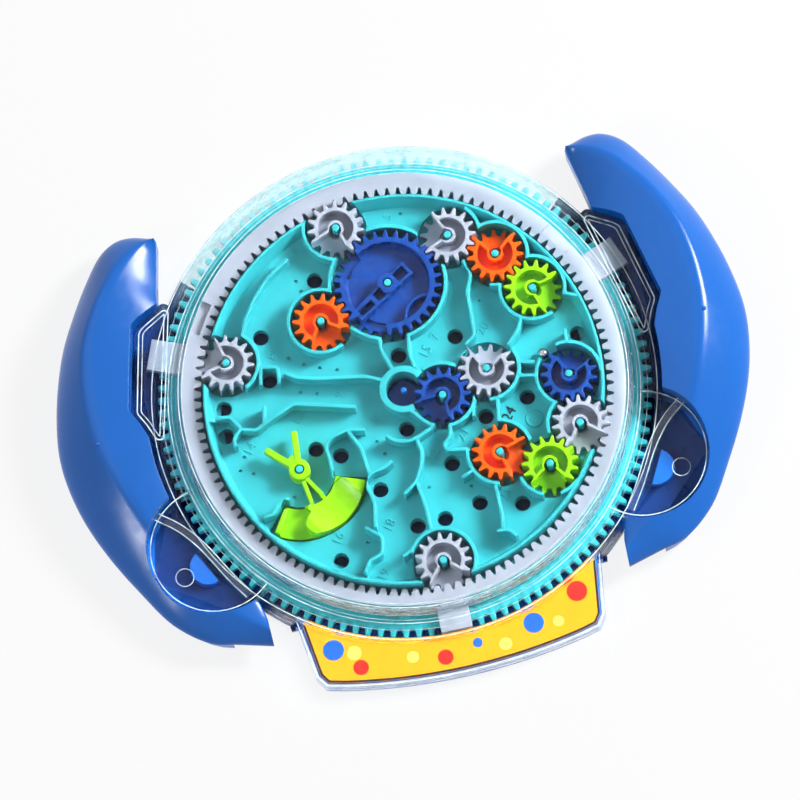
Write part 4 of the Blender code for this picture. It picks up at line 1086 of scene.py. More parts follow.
@dataclass
class MazeDrum:
    """The board with its maze, pockets, holes and posts, on the flange that the thumbs turn."""

    train: GearTrain
    radius: float = 81.9
    rim: Point = (80.7, 78)
    wall: float = 1.4
    wall_bend: float = 1.6
    wall_edge: float = 0.3
    pocket_lap: float = 0.9
    flange: Triple = (75, 97.6, 101)
    thumb_teeth: int = 120
    thumb_widths: Point = (6, 3.4)
    well: Point = (7.3, 9.9)
    hole: float = 3.2
    dimple: float = 0.7
    post: float = 1.5
    lever_recess: tuple[float, float, float, float] = (13.9, 28.3, -129, -16)
    numbers_turn: float = 52
    number_size: Point = (5.6, 0.55)
    printed: tuple[str, Point] = ("24", (39.8, -17.9))
    printed_size: Point = (6.2, 0.5)
    boss: Point = (49.3, -22.2)
    walls: tuple[tuple[Point, ...], ...] = (
        ((-34.5, 64), (-45, 57.5), (-51.5, 50.5), (-57, 42.5), (-60.5, 34)),
        ((-56.5, 14.5), (-55, 22), (-48, 20.5), (-49, 13.5)),
        ((-46, 17.5), (-41.5, 14.5), (-33, 12), (-13.5, 8.5), (-7.5, 5.5)),
        ((-15, 30), (-11, 26), (-5, 23.5), (-5.5, 18.5), (-2.5, 8.5)), ((17, 65), (19, 62), (20.5, 67)),
        ((7, 24), (5.5, 14), (6.5, 7.5)), ((35, 47.5), (37, 41.5), (34, 34), (33, 15.5), (28.5, 12.5)),
        ((43.5, 35), (49.5, 33.5)), ((53.5, 19.5), (51, 14), (45.5, 8.5)), ((47.5, 1), (54.5, -1)),
        ((47, -5), (54.5, -6.5)), ((69.5, 10), (69, 3.5)), ((72, 25), (77.5, 22.5)),
        ((-77.5, 5), (-71.5, 4.5), (-68, -1.5), (-72, -5), (-71.5, -8.5)),
        ((-68.5, -1.5), (-62, -3.5), (-57.5, -1), (-45, 4), (-38, 2), (-20.5, -3)),
        ((-57, 6), (-58.5, -2)), ((-66.5, -39.5), (-63, -39.5), (-58.5, -35), (-55, -34.5)),
        ((-35.5, -29), (-35.5, -22.5), (-36, -16), (-33, -13), (-26, -11.5), (-19, -13)),
        ((-26, -11.5), (-22, -20.5), (-21, -32)), ((-11, -17.5), (-8, -20.5), (-2, -22), (2.5, -20.5)),
        ((-11, -28.5), (-14, -30.5), (-19.5, -31), (-23.5, -34), (-21.5, -43.5), (-23.5, -54)),
        ((-27.5, -53), (-21.5, -58.5), (-23, -65.5), (-28.5, -67), (-31.5, -71.5)),
        ((0.5, -9), (8.5, -18), (0.5, -21.5), (2, -26.5), (0.5, -32.5), (-3, -39), (-9, -43)),
        ((-3, -39), (-1.5, -50.5), (-1.5, -62)),
        ((15.5, -18), (14.5, -23.5), (11, -26.5), (12, -29), (20.5, -30.5)),
        ((15.5, -41.5), (20.5, -39.5)), ((36.5, -12), (35, -22)), ((27, -9), (25.5, -17.5)),
        ((28, -47.5), (28, -60), (27, -66)), ((24.5, -66.5), (29.5, -67), (32, -70.5)),
        ((-15, -68.5), (-11, -66.5)),
    )
    pocket_walls: tuple[tuple[str, float, float], ...] = (
        ("gear_grey_1", 158, 262), ("gear_grey_2", 296, 410), ("gear_grey_3", 122, 200),
        ("gear_grey_4", -30, 154), ("gear_blue_big", 138, 180), ("gear_blue_big", 216, 252),
        ("gear_blue_big", 279, 368), ("gear_blue_big", 47, 100), ("gear_grey_5", -3, 46),
        ("gear_orange_1", 55, 300), ("gear_orange_2", -28, 112), ("gear_lime_1", -26, 90),
        ("gear_lime_1", 160, 296), ("gear_grey_6", 263, 387), ("gear_blue_2", 200, 244),
        ("gear_blue_2", 46, 116), ("gear_blue_2", 272, 338), ("gear_blue_1", 138, 242),
        ("gear_blue_1", -8, 102), ("gear_orange_3", 162, 257), ("gear_orange_3", 0, 82),
        ("gear_lime_2", 193, 246), ("gear_lime_2", 277, 316),
    )
    holes: tuple[Point, ...] = (
        (-25.7, 54.4), (-52.1, 35.9), (-52.4, 17.6), (1.1, 16.1), (-73, 10.1), (-74.4, -1.3),
        (-40, -14.7), (-30.7, -19.6), (-2.1, -14.7), (-18, -37.1), (-39.8, -62.4), (-6.4, -55.2),
        (25.2, 18.7), (74, 8.7), (48.4, -12.6), (30.3, -16.8), (12.7, -32.9), (20.3, -51.3),
        (37.1, -55.5), (5.1, -54.7),
    )
    dimples: tuple[Point, ...] = (
        (14.2, 74.1), (-33.2, 55.8), (-32.1, 51.2), (-42.9, 24.9), (-37.4, 21), (-31.4, 18.1),
        (-24.7, 15.9), (-41.1, 9.8), (-34.8, 7.9), (-69.1, -11.3), (-71.9, -16.7), (-67, -19.1),
        (-15.2, -17.2), (-8.4, -20.5), (-13.1, -22.9), (-27.7, -57.4), (-52.7, -32.3), (37.8, 31),
        (1.4, -40.7), (18.3, -43.9),
    )
    numbers: tuple[tuple[str, Point], ...] = (
        ("5", (9.2, 74)), ("6", (-30.9, 68.6)), ("7", (17.2, 20.5)), ("8", (-49, 27.1)),
        ("9", (-25.8, 5.4)), ("13", (-44.6, -0.6)), ("14", (-66, -8.6)), ("15", (12.3, 15.2)),
        ("16", (-38.9, -53.1)), ("17", (-13.7, -8.1)), ("18", (-17.4, -52.5)), ("19", (-24.2, -72)),
        ("20", (37, 19.4)), ("21", (19.7, -21.8)), ("22", (5.9, -27.7)), ("23", (31.1, -50.3)),
    )

    def raised(self) -> list[Shape]:
        """Return the walls of the maze and of the pockets, and the wall of the centre well.

        Their tops differ by hundredths, so that no two of them share a plane.

        Returns:
            The shapes to join to the board.
        """
        root, top = LEVELS.board[1] - 1, LEVELS.wall
        shapes = [block(Look.CYAN, band(line, self.wall, self.wall_bend), root,
                        top - 0.01 * (i % 5), self.wall_edge)
                  for i, line in enumerate(self.walls)]
        places = self.train.carried()
        for i, (name, first, last) in enumerate(self.pocket_walls):
            radius = self.train.pocket(name)
            outline = sector(places[name], radius - self.pocket_lap, radius + self.wall, first, last)
            shapes.append(block(Look.CYAN, outline, root, top - 0.007 * (i % 7) - 0.003,
                                self.wall_edge))
        return shapes + [block(Look.CYAN, circle(self.well[1]), root, top - 0.06, 0.4)]

    def hollows(self) -> list[Shape]:
        """Return what the pockets, the lever's recess, the holes and the well cut away.

        Returns:
            The shapes to cut out of the board.
        """
        high, floor, pocket = LEVELS.window[1], LEVELS.board[1], LEVELS.pocket
        cuts = [(circle(self.train.pocket(name), place), pocket, high)
                for name, place in self.train.carried().items()]
        cuts.append((sector(LEVER_PIVOT, *self.lever_recess), pocket + 0.01, high))
        cuts += [(circle(self.hole, place), 0, floor + 1) for place in self.holes]
        cuts += [(circle(self.dimple, place), floor - 1.2, floor + 1) for place in self.dimples]
        cuts.append((circle(self.well[0]), 0, high))
        return [block(Look.CYAN, *cut) for cut in cuts]

    def posts(self) -> list[Shape]:
        """Return the posts that the gears and the lever turn on."""
        return [block(Look.CYAN, circle(self.post, place), LEVELS.board[0] + 1, LEVELS.post, 0.4)
                for place in (*self.train.carried().values(), LEVER_PIVOT)]

    def build_board(self) -> None:
        """Make the board with everything that stands on it."""
        low, floor = LEVELS.board
        crest, foot = self.rim
        wall, soft = LEVELS.wall, 0.35
        tub = Shape(Look.CYAN).turned([
            (0, low), (self.radius, low), (self.radius, wall - soft), (self.radius - soft, wall),
            (crest + 0.1, wall), (crest - 0.15, wall - soft), (foot + 0.4, floor + 0.7),
            (foot, floor + 0.1), (foot - 1.2, floor), (0, floor)])
        piece = Piece("maze_board", tub).add(*self.raised()).cut(*self.hollows()).add(*self.posts())
        piece.settle("drum", "maze_drum")

    def build_flange(self) -> None:
        """Make the toothed flange."""
        inner, root, tip = self.flange
        thick, thin = (width / 2 for width in self.thumb_widths)
        outer = toothed(self.thumb_teeth, 0, (
            (root, -thick, 0), (tip, -thin, 0), (tip, thin, 0), (root, thick, 0)), 0.5)
        flange = Shape(Look.CYAN).collar(outer, ringed(inner, outer), *LEVELS.flange, edge=0.3)
        Piece("thumb_flange", flange).settle("drum")

    def build_marks(self) -> None:
        """Make the raised numbers of the course, the printed one and the round boss."""
        floor = LEVELS.board[1]
        foot = floor - 0.1
        marks = Shape(Look.CYAN, Look.INK_DARK)
        for look, (size, rise), numbers in ((0, self.number_size, self.numbers),
                                            (1, self.printed_size, (self.printed,))):
            for text, place in numbers:
                marks.words(text, place, size, self.numbers_turn, foot, rise, look)
        marks.turned([(0, foot), (3.7, foot), (3.7, floor + 0.25), (3.4, floor + 0.5),
                      (2.5, floor + 0.5), (2.3, floor + 0.15), (0, floor + 0.15)], self.boss)
        Piece("course_marks", marks).settle("drum")

    def build(self) -> None:
        """Make the whole drum."""
        self.build_board()
        self.build_flange()
        self.build_marks()


@dataclass
class TiltLever:
    """The lever with two arms, two struts and the pan that catches the ball."""

    hub: float = 4.4
    pan: Point = (14.8, 27.4)
    pan_span: Triple = (-124, -95, -21)
    pan_top: float = 18
    arms: Point = (136.5, 86)
    arm: Triple = (16.2, 2.6, 4)
    struts: Point = (-81.5, -59)
    strut: float = 1.7
    web: float = 6.6
    scoop: Triple = (20, 3.4, 6)
    scallop: tuple[Point, ...] = (
        (14.8, -95), (16.2, -88.5), (17.3, -86.5), (18.4, -88.5), (19.6, -92.6), (21.7, -96),
        (23.5, -95.5), (25.1, -93), (27.4, -88))

    def block_outline(self) -> Loop:
        """Return the outline of the pan's raised block, with its scalloped edge.

        Returns:
            The outline.
        """
        inner, outer = self.pan
        edge = [polar(reach, turn, LEVER_PIVOT) for reach, turn in self.scallop]
        return (edge + arc(LEVER_PIVOT, outer, self.scallop[-1][1] + 3, self.pan_span[2])
                + arc(LEVER_PIVOT, inner, self.pan_span[2], self.scallop[0][1] + 3))

    def scoop_shape(self) -> Shape:
        """Return the rounded trough that hollows the pan along its middle.

        Returns:
            The trough.
        """
        radius, depth, shift = self.scoop
        middle = (self.pan_span[1] + self.pan_span[2]) / 2
        centre = Vector(polar(self.pan[0] / 2 + shift, middle, LEVER_PIVOT))
        along = Vector(polar(1, middle))
        across = Vector((-along.y, along.x))
        height = self.pan_top + radius - depth
        return Shape(Look.LIME).skin([[(*(centre + along * reach + across * x), height + z)
                                       for x, z in circle(radius)] for reach in (0, self.pan[1] * 2)])

    def spoke(self, direction: float, reach: float, width: float) -> Loop:
        """Return the outline of an arm or strut that runs out from the hub."""
        ends = [polar(radius, direction, LEVER_PIVOT) for radius in (self.hub / 2, reach)]
        return band(ends, width)

    def build(self) -> None:
        """Make the lever in place."""
        first, _, last = self.pan_span
        inner, outer = self.pan
        low, high = LEVELS.gear
        floor, top = LEVELS.board[1], self.pan_top
        foot, deck = floor + LEVELS.gap, floor - 0.2
        pan = rounded(sector(LEVER_PIVOT, inner, outer, first, last), 0.4)
        reach, width, depth = self.arm
        web = sector(LEVER_PIVOT, 1, self.web, self.arms[1] + 4, self.arms[0] - 4)
        raised = [(rounded(self.block_outline(), 0.8), deck - 1, top, 0.4),
                  (web, high - depth - 0.2, high - 0.3, 0.3),
                  (sector(LEVER_PIVOT, inner + 2, outer, first, first + 5), deck - 1, top - 1, 0.3),
                  (circle(self.hub, LEVER_PIVOT), foot, high, 0.5)]
        raised += [(rounded(self.spoke(direction, reach, width), 0.8), high - depth, high - 0.02, 0.35)
                   for direction in self.arms]
        raised += [(self.spoke(direction, inner + 1, self.strut), foot + 0.01, top - 1.01, 0.25)
                   for direction in self.struts]
        piece = Piece("tilt_lever_moulded", block(Look.LIME, pan, low, deck))
        piece.add(*[block(Look.LIME, *part) for part in raised])
        piece.cut(block(Look.LIME, circle(BORE, LEVER_PIVOT), floor, LEVELS.wall + 1),
                  self.scoop_shape()).settle("lever", "tilt_lever")


@dataclass
class Ball:
    """The steel ball that rolls in the maze."""

    place: Point = (58.604, 2.996)
    radius: float = 2.4
    parts: int = 24

    def build(self) -> None:
        """Make the ball in place."""
        centre = LEVELS.board[1] + LEVELS.gap + self.radius
        half = [(self.radius * math.sin(turn), centre - self.radius * math.cos(turn))
                for turn in (math.radians(180 / self.parts * i) for i in range(self.parts + 1))]
        ball = Shape(Look.STEEL).turned(half, self.place, self.parts * 2)
        Piece("bearing_ball", ball).settle("ball", "steel_ball", angle=80)


# Fixed inner pieces

@dataclass
class RingGear:
    """The fixed toothed ring with its tabs and its two shallow recesses."""

    train: GearTrain
    outer: float = 91.3
    span: Point = (8.8, 17)
    tips: Point = (-1.3, 2)
    roots: Point = (1.6, 0.9)
    bend: float = 0.45
    tabs: tuple[Point, ...] = ((-90, 101.2), (22, 106), (158, 106))
    tab: Point = (13, 3.2)
    recesses: Point = (33, 147)
    recess: Triple = (2.8, 9, 2.5)

    def build(self) -> None:
        """Make the ring."""
        pitch, outer = self.train.pitch("ring_gear"), self.outer
        (tip, thin), (root, thick) = self.tips, self.roots
        inner = toothed(self.train.ring, 0, (
            (pitch + tip, -thin, 0), (pitch + tip, thin, 0),
            (pitch + root, -thick, 0.5), (pitch + root, thick, 0.5)), self.bend, 2)
        low, high = self.span
        ring = Shape(Look.GREY).collar(ringed(outer, inner), inner, low, high)
        width, thickness = self.tab
        tabs = [block(Look.GREY, band([polar(outer - 1, turn), polar(reach, turn)], width),
                      low, low + thickness, 0.3) for turn, reach in self.tabs]
        out, span, depth = self.recess
        recesses = [block(Look.GREY, sector(AXIS, pitch + out, outer + 1, turn - span / 2,
                                            turn + span / 2), high - depth, high + 1)
                    for turn in self.recesses]
        Piece("ring_gear_moulded", ring).add(*tabs).cut(*recesses).settle("housing", "ring_gear")


@dataclass
class SunPinion:
    """The fixed pinion in the centre well, with a pin in its round recess."""

    train: GearTrain
    top: float = 18.8
    recess: Point = (2, 2)
    pin: Point = (1.2, 0.4)

    def build(self) -> None:
        """Make the pinion."""
        blank = block(Look.BASE, self.train.outline("sun_pinion"), LEVELS.gear[0], self.top, 0.5)
        (radius, depth), (pin, rise) = self.recess, self.pin
        piece = Piece("sun_pinion_moulded", blank)
        piece.cut(block(Look.BASE, circle(radius), self.top - depth, LEVELS.wall))
        piece.add(block(Look.BASE, circle(pin), self.top - depth - 1, self.top + rise, 0.5))
        piece.settle("housing", "sun_pinion")


# Housing

@dataclass
class Housing:
    """Outlines that the cover, the handles and the base share."""

    skirt: float = 105.3
    well: Point = (-89.5, -47)
    well_radius: float = 25.5
    clear_wall: float = 1.4
    ear: tuple[Point, ...] = ((-84, 56), (-88.6, 59.3), (-99.5, 53.2), (-102.8, 50.6),
                              (-111, 15.6), (-107.8, 9.6), (-104.5, 1), (-98, 0))
    label_side: tuple[Point, ...] = ((61, -78), (63.6, -82.3), (60.3, -107.4), (57, -112.2))
    label_front: Triple = (131, 250, 50)

    def well_centre(self, side: int) -> Point:
        """Return the centre of the thumb well at one side."""
        return mirrored([self.well], side)[0]

    def ear_outline(self, side: int, growth: float = 0) -> Loop:
        """Return the outline of the cover's ear at one handle."""
        return grow(mirrored(self.ear, side), growth)

    def label_outline(self, growth: float = 0) -> Loop:
        """Return the outline of the label bay, whose front edge is a shallow arc.

        Args:
            growth: how far outwards the outline is moved.

        Returns:
            The outline.
        """
        centre, radius, half = self.label_front
        front = [half * (1 - i / 12) for i in range(25)]
        return grow([*self.label_side, *((x, centre - math.sqrt(radius ** 2 - x * x)) for x in front),
                     *((-x, y) for x, y in reversed(self.label_side))], growth)


@dataclass
class ClearCover:
    """The clear cover: window, stepped wall, ears, label bay and the cups of the thumb wells."""

    house: Housing
    window: float = 92.3
    ledge_inner: float = 93.6
    skirt_top: float = 103.8
    bridge: float = 97.3
    well_span: Point = (7.4, 16)
    label_top: float = 10.2
    sweep: float = 101.8
    wall_from: float = 90.2
    window_lines: tuple[Triple, ...] = ((0.35, 0.3, 0.75), (1.9, 0.18, 0.5))
    ledge_lines: tuple[Triple, ...] = ((95.3, 0.12, 0.5), (96.6, 0.3, 0.6), (99.4, 0.12, 0.5))
    ear_lines: tuple[Triple, ...] = ((2.6, 1.2, 0.5), (4.2, 1, 0.35))
    ear_drop: float = 0.55
    spot: Triple = (3.7, 14.2, -7)
    bar: tuple[Point, ...] = ((110, -28), (101.5, -34.5), (95, -42.5), (90.5, -50),
                              (86, -58.5), (79.5, -68.5))
    bar_width: float = 3.6
    bar_span: Point = (13.2, 14.6)

    def build_cover(self) -> None:
        """Make the cover itself."""
        house, look, wall = self.house, Look.CLEAR, self.house.clear_wall
        (under, top), (ledge_under, ledge) = LEVELS.window, LEVELS.ledge
        foot, skirt, step, window = LEVELS.base + LEVELS.gap, house.skirt, self.ledge_inner, self.window
        brow, (well_low, well_top) = self.skirt_top, self.well_span
        piece = Piece("clear_cover_moulded", Shape(look).turned([
            (0, foot), (skirt, foot), (brow + 0.05, ledge - 0.6), (brow - 0.2, ledge - 0.15),
            (brow - 0.7, ledge), (step + 0.5, ledge), (step - 0.05, ledge + 0.4), (window, top - 1),
            (window - 0.3, top - 0.3), (window - 1, top), (0, top)], steps=200))
        outer = [block(look, house.label_outline(), foot, self.label_top, 0.35)]
        inner = [Shape(look).turned([
            (0, 0), (skirt - wall, 0), (skirt - wall, foot), (brow - wall, ledge_under),
            (step - wall, ledge_under), (window - wall, under), (0, under)], steps=200),
            block(look, house.label_outline(-wall), 0, self.label_top - wall)]
        cups, spaces = [], []
        for side in (-1, 1):
            outer.append(block(look, rounded(house.ear_outline(side), 1.6), foot, ledge - 0.02, 0.4))
            inner.append(block(look, house.ear_outline(side, -wall), 0, ledge_under - 0.02))
            cups.append(self.cup(side, wall, well_top))
            rim = self.well_rim(side, 0, self.bridge)
            spaces.append(block(look, rim, well_low, top + 1))
        piece.add(*outer).cut(*inner).add(*cups).cut(*spaces)
        piece.repaint(Look.CLEAR_WALL, lambda face: (
            face.center.xy.length > self.wall_from * MM and abs(face.normal.z) < 0.9))
        piece.settle("housing", "clear_cover")

    def well_rim(self, side: int, growth: float, limit: float) -> Loop:
        """Return a thumb well's circle with its inner side pushed out to a radius about the axis.

        Args:
            side: -1 for the left well, 1 for the right.
            growth: how much wider the circle is than the well.
            limit: the radius about the axis.

        Returns:
            The outline.
        """
        points = []
        for x, y in circle(self.house.well_radius + growth, self.house.well_centre(side)):
            scale = max(math.hypot(x, y), limit) / math.hypot(x, y)
            points.append((x * scale, y * scale))
        return points

    def cup(self, side: int, wall: float, top: float) -> Shape:
        """Return one thumb well's cup, which clears the turning flange below its bridge.

        Args:
            side: -1 for the left well, 1 for the right.
            wall: the cup's wall.
            top: height of its top.

        Returns:
            The cup, not yet hollow.
        """
        low, clear = self.well_span[0] - wall, LEVELS.flange[1] + LEVELS.gap
        lower, upper = (self.well_rim(side, wall, limit) for limit in (self.sweep, self.bridge - wall))
        return Shape(Look.CLEAR).skin([[(x, y, z) for x, y in rim] for rim, z in (
            (lower, low), (lower, clear), (upper, clear), (upper, top))])

    def build_edges(self) -> None:
        """Make the fine lines of light that the cover's moulded edges catch."""
        house, top, ledge = self.house, LEVELS.window[1], LEVELS.ledge[1]
        rings = [*((self.window - inset, width, top - depth)
                   for inset, width, depth in self.window_lines),
                 (self.ledge_inner - 0.3, 0.2, ledge - 0.35),
                 *((radius, width, ledge - depth) for radius, width, depth in self.ledge_lines),
                 (self.skirt_top - 0.5, 0.35, ledge - 0.5)]
        lines = [(circle(radius), width, low, 0) for radius, width, low in rings]
        spot, out, along = self.spot
        lines.append((house.label_outline(-0.45), 0.35, self.label_top - 0.5, self.skirt_top))
        for side in (-1, 1):
            x, y = house.well_centre(side)
            lines += [(rounded(house.ear_outline(side, -inset), bend), width,
                       ledge - self.ear_drop, self.ledge_inner)
                      for inset, bend, width in self.ear_lines]
            lines += [(circle(house.well_radius + 0.5, (x, y)), 0.4, self.well_span[1] - 0.5,
                       self.bridge),
                      (circle(spot, (x + side * out, y + along)), 0.2, self.well_span[0] - 0.3,
                       self.ledge_inner)]
        for i, (outline, width, low, inside) in enumerate(lines):
            # Each line is a thin strip of painted highlight.
            piece = Piece(f"cover_edge_glint_{i}", Shape(Look.PAINTED_GLINT).collar(
                grow(outline, width / 2), grow(outline, -width / 2), low, low + 0.3))
            if inside:
                piece.cut(block(Look.PAINTED_GLINT, circle(inside), 0, top))
            piece.settle("housing")

    def build_bars(self) -> None:
        """Make the clear bars that cross from the wells' outer edges to the flange, with strips of
        painted highlight along their top edges.
        """
        low, high = self.bar_span
        for side in (-1, 1):
            line = rounded(mirrored(self.bar, -side), 5, 5, False)
            bar = Shape(Look.CLEAR_WALL, Look.PAINTED_GLINT).prism(band(line, self.bar_width), low, high, 0.4)
            # Strips of painted highlight along the bar's top edges.
            for shift in (-1, 1):
                edge = offset(line, shift * (self.bar_width / 2 - 0.3), False)
                bar.prism(band(edge, 0.35), high - 0.1, high + 0.15, look=1)
            Piece(sided("well_bar", side), bar).settle("housing")

    def build(self) -> None:
        """Make the cover with its edge lines and bars."""
        self.build_cover()
        self.build_edges()
        self.build_bars()


@dataclass
class Handle:
    """The upper shell of one handle: a crescent with a ridge between its two slopes."""

    house: Housing
    side: int
    crest: float = 27.5
    horn: Point = (18, 16)
    lower_horn_from: float = 0.4
    rise_to: float = 0.32
    fall: Point = (0.58, 0.42)
    ridge: float = 0.5
    ridge_out: Point = (0.22, 0.3)
    ridge_back: Triple = (0.27, 0.35, 0.35)
    inner_share: Point = (0.56, 0.76)
    inner_slope: float = 0.65
    outer_slope: float = 0.6
    outer_power: float = 2.2
    inner_steps: tuple[float, ...] = (0.2, 0.4, 0.6, 0.8, 0.94)
    outer_steps: tuple[float, ...] = (0.06, 0.15, 0.28, 0.41, 0.54, 0.66, 0.77, 0.86, 0.93, 0.975, 1)
    gate: Triple = (126.7, 4, 27)
    ribs: tuple[tuple[Point, Point], ...] = (
        ((-87, 86.9), (-85.6, 84.6)), ((-95, 89.6), (-86.8, 79)), ((-102.5, 89.2), (-88.3, 72)),
        ((-110, 84.5), (-90, 64)), ((-117.5, 74.8), (-91.5, 56.5)), ((-125, 63), (-96, 48)),
        ((-132.2, 49.8), (-99.5, 38)), ((-137.5, 35.5), (-101, 26)), ((-141.2, 21), (-102, 14)),
        ((-143.2, 6.3), (-102.5, 3)), ((-142.3, -8), (-102.5, -8)), ((-138.5, -24), (-101, -19)),
        ((-131.5, -41), (-97, -32)), ((-122.5, -57.5), (-91, -45)), ((-112.5, -73.2), (-84.5, -57.5)),
        ((-99.3, -84), (-78.5, -67)), ((-86.5, -87.3), (-75.5, -75)), ((-74.1, -90.7), (-74.3, -80.5)),
    )

    def heights(self, share: float) -> Point:
        """Return the crest's height and its place across the handle, at a share of its length.

        Args:
            share: the share of the length.

        Returns:
            The height and the place.
        """
        start, length = self.fall
        rise = smooth(share / self.rise_to) - smooth((share - start) / length)
        (out, out_length), (back, start, length) = self.ridge_out, self.ridge_back
        place = (self.ridge + out * smooth(share / out_length)
                 - back * smooth((share - start) / length))
        horn = self.horn[0] if share < self.lower_horn_from else self.horn[1]
        return horn + (self.crest - horn) * rise, place

    def section(self, share: float) -> Loop:
        """Return the cross section as (place across, height): inner edge, ridge, outer slope.

        Args:
            share: the share of the handle's length.

        Returns:
            The cross section.
        """
        crest, ridge = self.heights(share)
        low = LEVELS.seam + LEVELS.gap
        start, middle = self.inner_share
        edge = low + (crest - low) * (start + (middle - start) * smooth((share - 0.15) / 0.3))
        points = [(0, low), (0, edge - 0.6), (0.006, edge - 0.2), (0.02, edge)]
        for t in self.inner_steps:
            rise = self.inner_slope * t + (1 - self.inner_slope) * (1 - (1 - t) ** 2)
            points.append((0.02 + (ridge - 0.02) * t, edge + (crest - edge) * rise))
        for t in self.outer_steps:
            bow = 1 - math.sqrt(1 - t ** self.outer_power)
            drop = self.outer_slope * t + (1 - self.outer_slope) * bow
            points.append((ridge + (1 - ridge) * t, low + 0.4 + (crest - low - 0.4) * (1 - drop)))
        return points + [(1, low)]

    def build(self) -> None:
        """Make the shell and its gate mark."""
        house, side = self.house, self.side
        outer, inner = (through(mirrored([rib[end] for rib in self.ribs], side), 6) for end in (0, 1))
        sections = [[(*(into + (out - into) * x), z) for x, z in self.section(i / (len(outer) - 1))]
                    for i, (out, into) in enumerate(zip(outer, inner))]
        piece = Piece(sided("handle_shell", side), Shape(Look.BASE).skin(sections))
        piece.cut(*[block(Look.BASE, outline, 0, self.crest + 1) for outline in (
            circle(house.skirt + 0.3), rounded(house.ear_outline(side, 0.3), 1.2),
            circle(house.well_radius + 1.7, house.well_centre(side)))])
        piece.settle("housing", sided("handle_cover", side), angle=40)
        x, y, level = self.gate
        mark = Shape(Look.BASE).turned([(0, level - 0.8), (0.9, level - 0.8), (0.9, level + 0.1),
                                        (0.7, level + 0.3), (0, level + 0.35)], (side * x, y))
        Piece(sided("gate_mark", side), mark).settle("housing")


@dataclass
class LabelCard:
    """The printed card under the label window: a frame line and a few plain dots."""

    house: Housing
    low: float = 7.5
    high: float = 7.9
    inside: float = 101.6
    dots: tuple[tuple[float, float, float, Look], ...] = (
        (-51, -97.5, 4.3, Look.INK_BLUE), (-43, -100.5, 2.9, Look.INK_YELLOW),
        (-41.5, -107, 3.2, Look.INK_RED), (-20, -107.5, 2.4, Look.INK_YELLOW),
        (-7, -110.5, 3.2, Look.INK_RED), (7, -107.5, 2, Look.INK_BLUE),
        (18, -110.5, 2.6, Look.INK_YELLOW), (31, -104.5, 4.2, Look.INK_BLUE),
        (41, -106, 2.2, Look.INK_YELLOW), (51, -95.5, 4.2, Look.INK_RED),
    )

    def layer(self, shrink: float, low: float, high: float, look: Look, back: float,
              *nodes: str) -> None:
        """Make a layer of the card or its print, cut along the arc of the drum's housing.

        Args:
            shrink: how far its edge lies inside the label bay's.
            low: height of its foot.
            high: height of its top.
            look: its look.
            back: how far its arc lies behind the card's.
            nodes: CAD nodes that it replaces.
        """
        layer = block(look, self.house.label_outline(-shrink), low, high)
        cut = block(look, circle(self.inside + back), 0, 20)
        Piece("label_" + look.name.lower(), layer).cut(cut).settle("housing", *nodes)

    def build(self) -> None:
        """Make the card and its print."""
        foot, top = self.high - 0.1, self.high
        self.layer(2.2, self.low, top, Look.CARD, 0, "label_card")
        self.layer(2.3, foot, top + 0.03, Look.INK_DARK, 0.1)
        self.layer(3.2, foot, top + 0.06, Look.CARD, 0.1)
        for i, (x, y, radius, look) in enumerate(self.dots):
            dot = block(look, circle(radius, (x, y)), foot, top + 0.09 + 0.002 * i)
            Piece(f"label_dot_{i}", dot).settle("housing")


